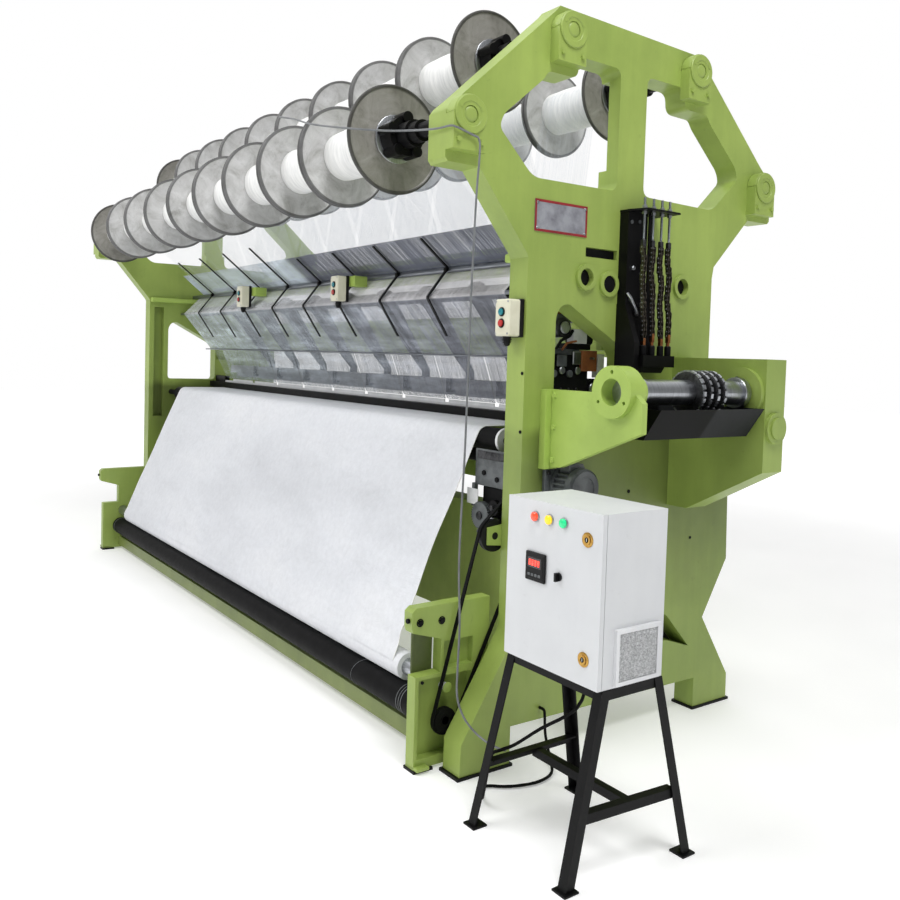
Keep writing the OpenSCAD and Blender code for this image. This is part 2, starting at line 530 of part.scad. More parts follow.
module control_stand() {
  w = 34; zt = BZ0;
  A = [[BX0 + 16, BY0 + 40], [BX1 - 16, BY0 + 40], [BX1 - 16, BY1 - 16], [BX0 + 16, BY1 - 16]];
  F = [[XR + 285, -945], [XR + 745, -950], [XR + 792, -470], [XR + 285, -470]];
  function at(i, z) = let (k = (zt - z)/zt) [A[i][0]*(1 - k) + F[i][0]*k, A[i][1]*(1 - k) + F[i][1]*k, z];
  color(BLACK) place() {
    difference() { bx(BX0, BX1, BY0 + 20, BY1, zt - 34, zt); bx(BX0 + 34, BX1 - 34, BY0 + 54, BY1 - 34, zt - 40, zt + 1); }
    for (i = [0:3]) strut(at(i, zt - 8), at(i, 6), w);
    strut(at(0, 215), at(3, 215), 26);
    strut(at(1, 215), at(2, 215), 26);
    strut((at(0, 215) + at(3, 215))/2, (at(1, 215) + at(2, 215))/2, 22);
    for (p = F) bx(p[0] - 32, p[0] + 32, p[1] - 32, p[1] + 32, 0, 9);
  }
}

// ---------- push-button stations ----------
// centre x, front face y, centre z, and y of the surface behind
STN = [[XR - 58, -626, 1775, -550.2], [528, -378, 1990, -304], [-867, -378, 1998, -304]];
module station(s) {
  difference() {
    union() {
      bx(s[0] - 44, s[0] + 44, s[1], s[1] + 60, s[2] - 72, s[2] + 72);
      bx(s[0] - 46, s[0] + 46, s[1] + 60, s[3], s[2] - 74, s[2] + 74);
      translate([s[0] - 8, s[1] + 36, s[2] - 108]) cylinder(r1 = 8, r2 = 16, h = 36);
    }
    for (z = [-22, 22]) ycyl(13.6, s[1] - 1, s[1] + 24, s[0], s[2] + z);
  }
}
module button_stations() {
  color([0.87, 0.87, 0.8]) place() {
    for (s = STN) station(s);
    // straps from the two middle stations to the front rail
    for (i = [1, 2]) bx(STN[i][0] - 15, STN[i][0] + 15, -306, RAIL[0] - RAIL_R - 0.3, 2048, 2060);
  }
}
module push_button(i, z, c) {
  s = STN[i];
  color(c) place() { ycyl(13, s[1] - 9, s[1] + 16, s[0], s[2] + z); }
}
TEAL = [0.1, 0.55, 0.6]; RED = [0.8, 0.15, 0.12];
module start_button_near() { push_button(0, 22, TEAL); }
module stop_button_near() { push_button(0, -22, RED); }
module start_button_middle() { push_button(1, 22, TEAL); }
module stop_button_middle() { push_button(1, -22, RED); }
module start_button_far() { push_button(2, 22, TEAL); }
module stop_button_far() { push_button(2, -22, RED); }

// ---------- cords ----------
// grey cable: loose end over the front spools, round the front of the arch, then down to the stand
HANG = [[XR - 1319, -1000, 2729], [XR - 1035, -1060, 2652], [XR - 760, -1103, 2568], [XR - 420, -1107, 2486], [XR - 270, -1010, 2466], [XR - 60, -971, 2440], [XR + 38, -968, 2434], [XR + 59, -950, 2428],
  [XR + 60, -880, 2412], [XR + 66, -856, 2398], [XR + 84, -866, 2330], [XR + 92, -880, 2200], [XR + 98, -893, 1900], [XR + 100, -898, 1600], [XR + 98, -900, 1300],
  [XR + 88, -900, 1060], [XR + 84, -900, 850], [XR + 92, -895, 650], [XR + 84, -892, 480], [XR + 76, -884, 370], [XR + 104, -872, 300], [XR + 156, -857, 259], [XR + 212, -848, 243],
  [XR + 262, -840, 239], [XR + 297, -830, 240]];
module hanging_cable() { color([0.45, 0.47, 0.48]) place() tube_along(route(HANG, 4), 4, 8); }
// black cable: from the bottom of the control box over the stand's rail, along the floor and up to the end frame
CTRL = [[XR + 565, -705, 603], [XR + 565, -705, 572], [XR + 545, -733, 457], [XR + 420, -782, 351], [XR + 345, -828, 279], [XR + 299, -854, 248], [XR + 264, -866, 219],
  [XR + 236, -864, 120], [XR + 196, -845, 34], [XR + 140, -806, 9], [XR + 96, -776, 9], [XR + 104, -738, 9], [XR + 134, -700, 9], [XR + 162, -640, 9],
  [XR + 176, -555, 9], [XR + 150, -470, 10], [XR + 92, -425, 30], [XR + 44, -412, 110], [XR + 34, -410, 186], [XR + 26, -410, 206], [XR + 1.2, -410, 206]];
module control_cable() { color(BLACK) place() tube_along(route(CTRL, 4), 6, 8); }

side_frames();
arches();
bearing_caps();
frame_bolts();
foot_pads();
cross_beams();
front_beam_shaft();
top_beam_shaft();
rear_beam_shaft();
spare_beam_shaft();
front_spools();
top_spools();
rear_spools();
front_yarn();
top_yarn();
rear_yarn();
tension_rails();
rod_supports();
warp_sheets();
rocker();
guide_bar_front();
guide_bar_middle();
guide_bar_rear();
needle_bed();
needle_bar();
main_shaft();
motor();
takedown_roller_upper();
takedown_roller_lower();
cloth();
cloth_roll();
batch_roller();
takeup_brackets();
takeup_pulley();
takeup_belt();
drum_front_bracket();
drum_rear_bracket();
drum_shaft();
pattern_drum();
chain_column();
pattern_chains();
oil_tray();
control_box();
control_door();
door_lock_upper();
door_lock_lower();
selector_knob();
door_instruments();
vent_grille();
vent_fan();
control_stand();
button_stations();
start_button_near();
stop_button_near();
start_button_middle();
stop_button_middle();
start_button_far();
stop_button_far();
hanging_cable();
control_cable();
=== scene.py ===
import bpy, bmesh, math, random
import numpy as np
from mathutils import Vector, Matrix


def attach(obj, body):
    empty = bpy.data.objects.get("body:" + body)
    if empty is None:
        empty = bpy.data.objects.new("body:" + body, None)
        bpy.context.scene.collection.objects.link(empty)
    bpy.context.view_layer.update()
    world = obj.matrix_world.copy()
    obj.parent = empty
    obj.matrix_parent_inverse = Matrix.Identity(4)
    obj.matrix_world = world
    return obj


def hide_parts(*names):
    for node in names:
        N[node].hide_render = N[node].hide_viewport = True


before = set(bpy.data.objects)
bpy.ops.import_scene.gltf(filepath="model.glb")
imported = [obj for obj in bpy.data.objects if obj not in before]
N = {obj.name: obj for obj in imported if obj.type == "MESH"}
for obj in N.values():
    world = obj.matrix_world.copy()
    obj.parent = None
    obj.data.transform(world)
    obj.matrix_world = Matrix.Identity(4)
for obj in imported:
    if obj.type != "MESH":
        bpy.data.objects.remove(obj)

scene = bpy.context.scene
OX, OY = -382.4, 76.5            # part frame shift, millimetres
XR, XI = 2435.0, 2325.0          # outer and inner face of the drum-end frame
rad = math.radians


def M(x, y, z):
    """Machine millimetres to the row frame in metres."""
    return Vector(((x + OX) / 1000.0, (y + OY) / 1000.0, z / 1000.0))


# ------------------------------------------------------------------ camera
def make_camera():
    yaw, pitch, roll = rad(144.37), rad(2.67), rad(-1.75)
    f = Vector((math.cos(yaw) * math.cos(pitch), math.sin(yaw) * math.cos(pitch), -math.sin(pitch)))
    r0 = Vector((math.sin(yaw), -math.cos(yaw), 0))
    d0 = f.cross(r0)
    right = math.cos(roll) * r0 + math.sin(roll) * d0
    down = -math.sin(roll) * r0 + math.cos(roll) * d0
    p = M(XR + 2660.5, -2809.7, 1610.0)
    cd = bpy.data.cameras.new("camera")
    cd.sensor_fit = 'HORIZONTAL'
    cd.sensor_width = 36.0
    cd.lens = 892.0 / 900.0 * 36.0
    cd.shift_y = -50.0 / 900.0
    cd.clip_end = 200
    co = bpy.data.objects.new("camera", cd)
    scene.collection.objects.link(co)
    m = Matrix.Identity(4)
    for i in range(3):
        m[i][0] = right[i]; m[i][1] = -down[i]; m[i][2] = -f[i]; m[i][3] = p[i]
    co.matrix_world = m
    scene.camera = co


make_camera()


# ------------------------------------------------------------------ materials
def srgb(r, g, b):
    def f(c):
        c = c / 255.0
        return c / 12.92 if c <= 0.04045 else ((c + 0.055) / 1.055) ** 2.4
    return (f(r), f(g), f(b), 1.0)


class Mat:
    """A small helper round a node tree."""
    def __init__(self, name):
        self.m = bpy.data.materials.new(name)
        self.m.use_nodes = True
        self.nt = self.m.node_tree
        self.b = self.nt.nodes["Principled BSDF"]
        self.tc = self.add("ShaderNodeTexCoord")

    def add(self, kind, **kw):
        n = self.nt.nodes.new(kind)
        for k, v in kw.items():
            setattr(n, k, v)
        return n

    def link(self, a, b):
        self.nt.links.new(a, b)

    def coords(self, scale=(1, 1, 1), rot=(0, 0, 0)):
        mp = self.add("ShaderNodeMapping")
        mp.inputs["Scale"].default_value = scale
        mp.inputs["Rotation"].default_value = rot
        self.link(self.tc.outputs["Object"], mp.inputs["Vector"])
        return mp.outputs["Vector"]

    def noise(self, scale, detail=4.0, rough=0.55, vec=None, distort=0.0):
        n = self.add("ShaderNodeTexNoise")
        n.inputs["Scale"].default_value = scale
        n.inputs["Detail"].default_value = detail
        n.inputs["Roughness"].default_value = rough
        n.inputs["Distortion"].default_value = distort
        self.link(vec if vec is not None else self.tc.outputs["Object"], n.inputs["Vector"])
        return n.outputs["Fac"]

    def ramp(self, fac, stops, interp='LINEAR'):
        r = self.add("ShaderNodeValToRGB")
        r.color_ramp.interpolation = interp
        el = r.color_ramp.elements
        while len(el) < len(stops):
            el.new(0.5)
        for e, (p, c) in zip(el, stops):
            e.position = p
            e.color = c if hasattr(c, "__len__") else (c, c, c, 1)
        self.link(fac, r.inputs["Fac"])
        return r.outputs["Color"]

    def mix(self, fac, a, b, blend='MIX'):
        n = self.add("ShaderNodeMix", data_type='RGBA', blend_type=blend)
        for sock, v in ((n.inputs["Factor"], fac), (n.inputs[6], a), (n.inputs[7], b)):
            if hasattr(v, "is_linked"):
                self.link(v, sock)
            else:
                sock.default_value = v
        return n.outputs[2]

    def math(self, op, a, b=None):
        n = self.add("ShaderNodeMath", operation=op)
        for sock, v in zip(n.inputs, (a, b)):
            if v is None:
                continue
            if hasattr(v, "is_linked"):
                self.link(v, sock)
            else:
                sock.default_value = v
        return n.outputs[0]

    def bump(self, height, strength=0.2, distance=0.002, normal=None):
        n = self.add("ShaderNodeBump")
        n.inputs["Strength"].default_value = strength
        n.inputs["Distance"].default_value = distance
        self.link(height, n.inputs["Height"])
        if normal is not None:
            self.link(normal, n.inputs["Normal"])
        return n.outputs["Normal"]

    def set(self, **kw):
        names = {"color": "Base Color", "rough": "Roughness", "metal": "Metallic", "normal": "Normal", "alpha": "Alpha", "coat": "Coat Weight",
                 "coat_rough": "Coat Roughness", "spec": "Specular IOR Level", "emit": "Emission Color", "emit_power": "Emission Strength",
                 "trans": "Transmission Weight", "sheen": "Sheen Weight", "ior": "IOR", "aniso": "Anisotropic"}
        for k, v in kw.items():
            s = self.b.inputs[names[k]]
            if hasattr(v, "is_linked"):
                self.link(v, s)
            else:
                s.default_value = v
        return self


def painted(name, c, dark, worn=None, scale=3.0, rough=(0.34, 0.52), bump=0.12, grain=140.0, spec=0.5, streak=0.12, low=None, painted_shadow=None):
    """Brush- or spray-painted metal: slow tone drift, faint dirt, fine orange peel."""
    k = Mat(name)
    n1 = k.noise(scale, 6.0, 0.6)
    col = k.ramp(n1, [(0.33, dark), (0.62, c)])
    n2 = k.noise(scale * 9, 5.0, 0.7, distort=0.6)
    spots = k.ramp(n2, [(0.62, 0.0), (0.78, 1.0)])
    col = k.mix(k.math('MULTIPLY', spots, 0.35), col, worn if worn else dark)
    # long faint runs of oil and dust
    runs = k.ramp(k.noise(scale * 1.6, 5.0, 0.65, k.coords((3.2, 3.2, 0.35))), [(0.42, 0.84), (0.62, 1.0)])
    col = k.mix(streak, col, runs, 'MULTIPLY')
    if low:
        # painted shade: darker zone near the floor, where the beams are in shadow
        sp = k.add("ShaderNodeSeparateXYZ")
        k.link(k.tc.outputs["Object"], sp.inputs[0])
        hz = k.math('ADD', sp.outputs["Z"], k.math('MULTIPLY', k.noise(3.0, 4.0), 0.12))
        col = k.mix(1.0, col, k.ramp(hz, [(low[0], low[2]), (low[1], 1.0)]), 'MULTIPLY')
    if painted_shadow:
        # darker zone under the drum, which stands in for the shadow there
        so = k.add("ShaderNodeSeparateXYZ")
        k.link(k.tc.outputs["Object"], so.inputs[0])
        hh = k.math('ADD', k.math('MULTIPLY', so.outputs["Z"], 0.5), k.math('MULTIPLY', k.math('SUBTRACT', k.noise(2.4, 4.0), 0.5), 0.06))
        shadow_band = k.ramp(hh, [(0.24, 1.0), (0.47, painted_shadow + 0.12), (0.56, painted_shadow), (0.655, painted_shadow), (0.685, 1.0)])
        side = k.ramp(k.math('ADD', so.outputs["Y"], 0.6), [(0.07, 0.0), (0.22, 1.0)])
        col = k.mix(side, col, shadow_band, 'MULTIPLY')
    k.set(color=col)
    k.set(rough=k.math('ADD', k.math('MULTIPLY', k.noise(scale * 5, 3.0), rough[1] - rough[0]), rough[0]), spec=spec)
    k.set(normal=k.bump(k.noise(grain, 3.0, 0.6), bump, 0.0015))
    return k.m


def metal(name, c, dark, rough=(0.22, 0.42), stretch=(1, 1, 1), scale=60.0, bump=0.05, metallic=1.0):
    """Bare metal with drawn or ground lines along the axis that is not stretched."""
    k = Mat(name)
    v = k.coords(stretch)
    n = k.noise(scale, 6.0, 0.65, v)
    k.set(color=k.ramp(n, [(0.3, dark), (0.65, c)]), metal=metallic)
    stain = k.noise(7.0, 5.0, 0.6)
    k.set(rough=k.math('ADD', k.math('MULTIPLY', stain, rough[1] - rough[0]), rough[0]))
    k.set(normal=k.bump(n, bump, 0.001))
    return k.m


def plastic(name, c, dark, rough=0.4, grain=220.0, bump=0.06, coat=0.0, spec=0.5):
    k = Mat(name)
    k.set(spec=spec)
    n = k.noise(12.0, 4.0)
    k.set(color=k.ramp(n, [(0.3, dark), (0.65, c)]), coat=coat)
    k.set(rough=k.math('ADD', k.math('MULTIPLY', k.noise(30.0, 3.0), 0.16), rough - 0.08))
    k.set(normal=k.bump(k.noise(grain, 2.0), bump, 0.0008))
    return k.m


GREEN = painted("lime_paint", srgb(156, 177, 88), srgb(141, 162, 78), srgb(108, 122, 60), scale=2.2, streak=0.45)
# the same lime paint with a painted shadow under the drum
GREEN_F = painted("frame_lime_paint_painted_shadow", srgb(156, 177, 88), srgb(141, 162, 78), srgb(108, 122, 60), scale=2.2, streak=0.45, painted_shadow=0.40)
# a lighter copy of the lime paint, painted light on the cross beams, with painted shade near the floor
GREEN_B = painted("beam_lime_paint_painted_light_and_shade", srgb(188, 208, 112), srgb(168, 188, 98), srgb(110, 122, 64), scale=2.6, streak=0.4, low=(0.16, 0.34, 0.40))
GREEN_D = painted("shaded_lime_paint", srgb(92, 104, 56), srgb(74, 84, 46), srgb(48, 54, 34), scale=6.0)
GREEN_L = painted("light_lime_paint", srgb(170, 196, 96), srgb(158, 184, 86), srgb(116, 136, 64), scale=4.0)
BLACKP = painted("black_paint", srgb(13, 13, 14), srgb(7, 7, 8), srgb(34, 33, 31), scale=5.0, rough=(0.34, 0.52), spec=0.16)
DARKST = metal("dark_steel", srgb(88, 88, 90), srgb(44, 44, 46), rough=(0.35, 0.6), scale=40)
STEEL = metal("ground_steel", srgb(196, 199, 203), srgb(138, 141, 146), stretch=(1, 40, 1), scale=18)
STEEL_X = metal("drawn_steel", srgb(158, 162, 168), srgb(96, 100, 106), stretch=(1, 60, 60), scale=8, rough=(0.3, 0.5))
ALU = metal("bar_aluminium", srgb(192, 194, 198), srgb(150, 152, 156), stretch=(1, 30, 30), scale=20, rough=(0.3, 0.5))
RUBBER = plastic("black_rubber", srgb(12, 12, 13), srgb(5, 5, 6), 0.62, 320.0, 0.25, spec=0.12)
BLACKM = painted("shaded_machinery", srgb(18, 18, 20), srgb(6, 6, 7), srgb(48, 46, 42), scale=9.0, rough=(0.42, 0.6), spec=0.14)
RUST = painted("brown_primer", srgb(168, 100, 58), srgb(128, 74, 44), srgb(86, 60, 44), scale=14.0, rough=(0.45, 0.6))
PALE = painted("pale_grey_paint", srgb(224, 225, 226), srgb(196, 198, 200), srgb(150, 150, 150), scale=12.0)
BLACKPL = plastic("black_plastic", srgb(15, 15, 16), srgb(8, 8, 9), 0.44, spec=0.25)
GREYP = painted("grey_paint", srgb(98, 102, 104), srgb(58, 62, 64), srgb(28, 29, 30), scale=14)
WHITEP = painted("white_bar_paint", srgb(232, 233, 235), srgb(214, 215, 218), srgb(180, 180, 180), scale=5)
BOXP = painted("enclosure_paint", srgb(217, 219, 221), srgb(207, 209, 212), srgb(186, 187, 186), scale=1.6, rough=(0.38, 0.5), bump=0.14, grain=420.0)
IVORY = plastic("ivory_plastic", srgb(226, 224, 203), srgb(212, 209, 186), 0.36)
TEAL = plastic("teal_plastic", srgb(28, 138, 148), srgb(18, 112, 124), 0.28, coat=0.3)
RED = plastic("red_plastic", srgb(203, 52, 44), srgb(170, 36, 30), 0.28, coat=0.3)
BRASS = metal("worn_brass", srgb(214, 172, 92), srgb(158, 116, 52), scale=90, rough=(0.25, 0.45))
GREYCABLE = plastic("grey_cable", srgb(116, 119, 121), srgb(92, 95, 97), 0.5)
COPPER = metal("copper", srgb(172, 112, 70), srgb(110, 66, 40), scale=90, rough=(0.3, 0.5))
CHAIN = metal("oiled_chain", srgb(134, 127, 116), srgb(44, 40, 36), scale=160, rough=(0.3, 0.5))
MAROON = painted("plate_red", srgb(150, 42, 46), srgb(124, 30, 36), srgb(92, 28, 30), scale=14, rough=(0.3, 0.45))


def yarn_material():
    """Tightly wound white yarn: fine turns round the spool with a slow shade drift."""
    k = Mat("wound_yarn")
    sep = k.add("ShaderNodeSeparateXYZ")
    k.link(k.tc.outputs["Object"], sep.inputs[0])
    w = k.add("ShaderNodeTexWave", wave_type='BANDS', bands_direction='X')
    w.inputs["Scale"].default_value = 90.0
    w.inputs["Distortion"].default_value = 1.6
    w.inputs["Detail"].default_value = 3.0
    k.link(k.tc.outputs["Object"], w.inputs["Vector"])
    n = k.noise(10.0, 4.0, 0.6, k.coords((6, 1, 1)))
    col = k.ramp(n, [(0.3, srgb(219, 220, 219)), (0.7, srgb(245, 245, 243))])
    k.set(color=col, rough=0.75, sheen=0.25)
    k.set(normal=k.bump(w.outputs["Fac"], 0.22, 0.0012))
    return k.m


YARN = yarn_material()


def flange_material(name="spool_flange", tones=((158, 157, 153), (198, 198, 197), (226, 226, 226))):
    """Spool flange: turned aluminium, stained, with a dark painted rim and a darker hub."""
    k = Mat(name)
    sep = k.add("ShaderNodeSeparateXYZ")
    k.link(k.tc.outputs["Object"], sep.inputs[0])
    comb = k.add("ShaderNodeCombineXYZ")
    k.link(sep.outputs["Y"], comb.inputs["Y"]); k.link(sep.outputs["Z"], comb.inputs["Z"])
    ln = k.add("ShaderNodeVectorMath", operation='LENGTH')
    k.link(comb.outputs[0], ln.inputs[0])
    r = k.math('MULTIPLY', ln.outputs["Value"], 1.0 / 0.22)
    stain = k.noise(9.0, 7.0, 0.68, distort=0.8)
    base = k.ramp(stain, [(0.26, srgb(*tones[0])), (0.46, srgb(*tones[1])), (0.7, srgb(*tones[2]))])
    ring = k.ramp(r, [(0.0, 0.35), (0.26, 0.4), (0.285, 0.85), (0.40, 0.80), (0.42, 1.0), (0.925, 0.96), (0.945, 0.30), (1.0, 0.16)])
    # turning marks
    rv = k.add("ShaderNodeCombineXYZ")
    k.link(k.math('MULTIPLY', r, 60.0), rv.inputs["X"])
    turn = k.noise(1.0, 4.0, 0.7, rv.outputs[0])
    col = k.mix(1.0, base, ring, 'MULTIPLY')
    col = k.mix(0.35, col, k.ramp(turn, [(0.3, 0.55), (0.7, 1.0)]), 'MULTIPLY')
    dirt = k.noise(26.0, 6.0, 0.75, distort=1.2)
    col = k.mix(0.5, col, k.ramp(dirt, [(0.30, 0.55), (0.42, 1.0)]), 'MULTIPLY')
    k.set(color=col, metal=k.ramp(r, [(0.0, 0.25), (0.93, 0.25), (0.95, 0.05)]))
    k.set(rough=k.math('ADD', k.math('MULTIPLY', stain, 0.3), 0.3))
    k.set(normal=k.bump(turn, 0.12, 0.0008))
    return k.m


FLANGE = flange_material()
FLANGE_W = flange_material("worn_flange", ((104, 101, 94), (140, 138, 131), (166, 164, 158)))


def cloth_material():
    """Fine white net: small square mesh, faint creases and soiled patches."""
    k = Mat("net_fabric")
    wx = k.add("ShaderNodeTexWave", wave_type='BANDS', bands_direction='X'); wx.inputs["Scale"].default_value = 60.0
    wz = k.add("ShaderNodeTexWave", wave_type='BANDS', bands_direction='Z'); wz.inputs["Scale"].default_value = 60.0
    for w in (wx, wz):
        w.inputs["Distortion"].default_value = 0.4
        k.link(k.tc.outputs["Object"], w.inputs["Vector"])
    net = k.math('MAXIMUM', wx.outputs["Fac"], wz.outputs["Fac"])
    slow = k.noise(1.1, 5.0, 0.6, k.coords((0.6, 1, 1.4)))
    fine = k.noise(34.0, 5.0, 0.7)
    col = k.ramp(slow, [(0.28, srgb(204, 206, 211)), (0.5, srgb(219, 221, 226)), (0.72, srgb(229, 230, 233))])
    col = k.mix(0.2, col, k.ramp(fine, [(0.35, 0.62), (0.65, 1.0)]), 'MULTIPLY')
    soil = k.noise(5.0, 6.0, 0.72, k.coords((1.0, 1.0, 1.6)), distort=0.7)
    col = k.mix(0.35, col, k.ramp(soil, [(0.28, 0.80), (0.46, 1.0)]), 'MULTIPLY')
    col = k.mix(0.10, col, k.ramp(net, [(0.2, 0.6), (0.8, 1.0)]), 'MULTIPLY')
    k.set(color=col, rough=0.85, sheen=0.2)
    k.set(normal=k.bump(net, 0.12, 0.0008, k.bump(k.noise(2.6, 6.0, 0.62, k.coords((0.5, 1.0, 1.5)), distort=0.8), 0.55, 0.03)))
    return k.m


CLOTH = cloth_material()


def warp_material(name, left, right, at, soft, var, rough=0.5, light_shade_patches=0.0):
    """Yarn sheets with painted light and shade: the tone changes along the machine, lighter to the left and darker to
    the right, for the light and dark room seen through the sheets and their shaded undersides.
    """
    k = Mat(name)
    sep = k.add("ShaderNodeSeparateXYZ")
    k.link(k.tc.outputs["Object"], sep.inputs[0])
    t = k.math('ADD', k.math('MULTIPLY', sep.outputs["X"], 1 / 6.0), 0.5)
    base = k.ramp(t, [(0.5 + (at - soft) / 6.0, left), (0.5 + (at + soft) / 6.0, right)])
    streak = k.noise(1.0, 3.0, 0.6, k.coords((260, 1.5, 1.5)))
    cloud = k.noise(2.2, 4.0, 0.6, k.coords((1.6, 1.0, 2.6)))
    col = k.mix(1.0, base, k.ramp(streak, [(0.3, 1.0 - var), (0.7, 1.0)]), 'MULTIPLY')
    col = k.mix(1.0, col, k.ramp(cloud, [(0.32, 1.0 - var * 0.8), (0.68, 1.0)]), 'MULTIPLY')
    if light_shade_patches:
        # painted patches of light and shade across the sheet
        band = k.noise(1.0, 5.0, 0.6, k.coords((1.1, 3.0, 16.0)))
        col = k.mix(light_shade_patches, col, k.ramp(band, [(0.36, 0.55), (0.52, 1.0), (0.64, 1.5)]), 'MULTIPLY')
        light_shade_blot = k.noise(1.0, 6.0, 0.7, k.coords((7.0, 9.0, 22.0)), distort=0.5)
        col = k.mix(light_shade_patches, col, k.ramp(light_shade_blot, [(0.36, 0.62), (0.5, 1.0), (0.66, 1.45)]), 'MULTIPLY')
    k.set(color=col, rough=rough, sheen=0.1, spec=0.4)
    return k.m


# yarn sheets: the left and right tones and the patches are painted light and shade
WARP = warp_material("warp_yarn", srgb(226, 231, 236), srgb(205, 212, 222), -0.5, 1.2, 0.12)
WARP_BAND = warp_material("warp_yarn_band_painted_shade", srgb(214, 226, 236), srgb(104, 109, 124), -0.56, 0.03, 0.30, light_shade_patches=0.35)
WARP_MID = warp_material("warp_yarn_turn", srgb(238, 241, 245), srgb(236, 234, 237), -0.4, 1.5, 0.2, light_shade_patches=0.4)
WARP_LOW = warp_material("warp_yarn_lower", srgb(212, 224, 232), srgb(164, 168, 181), -0.6, 1.6, 0.4, light_shade_patches=0.75)


def glow(name, c, deep, power):
    k = Mat(name)
    n = k.noise(60.0, 3.0)
    col = k.ramp(n, [(0.3, deep), (0.7, c)])
    k.set(color=col, rough=0.22, coat=0.5, emit=col, emit_power=power)
    return k.m


LAMP_RED = glow("lamp_red", srgb(255, 92, 52), srgb(226, 60, 34), 0.5)
LAMP_YEL = glow("lamp_yellow", srgb(255, 214, 40), srgb(236, 182, 20), 0.5)
LAMP_GRN = glow("lamp_green", srgb(28, 212, 140), srgb(18, 176, 108), 0.5)
DIGIT = glow("red_segments", srgb(255, 60, 40), srgb(220, 30, 20), 2.5)


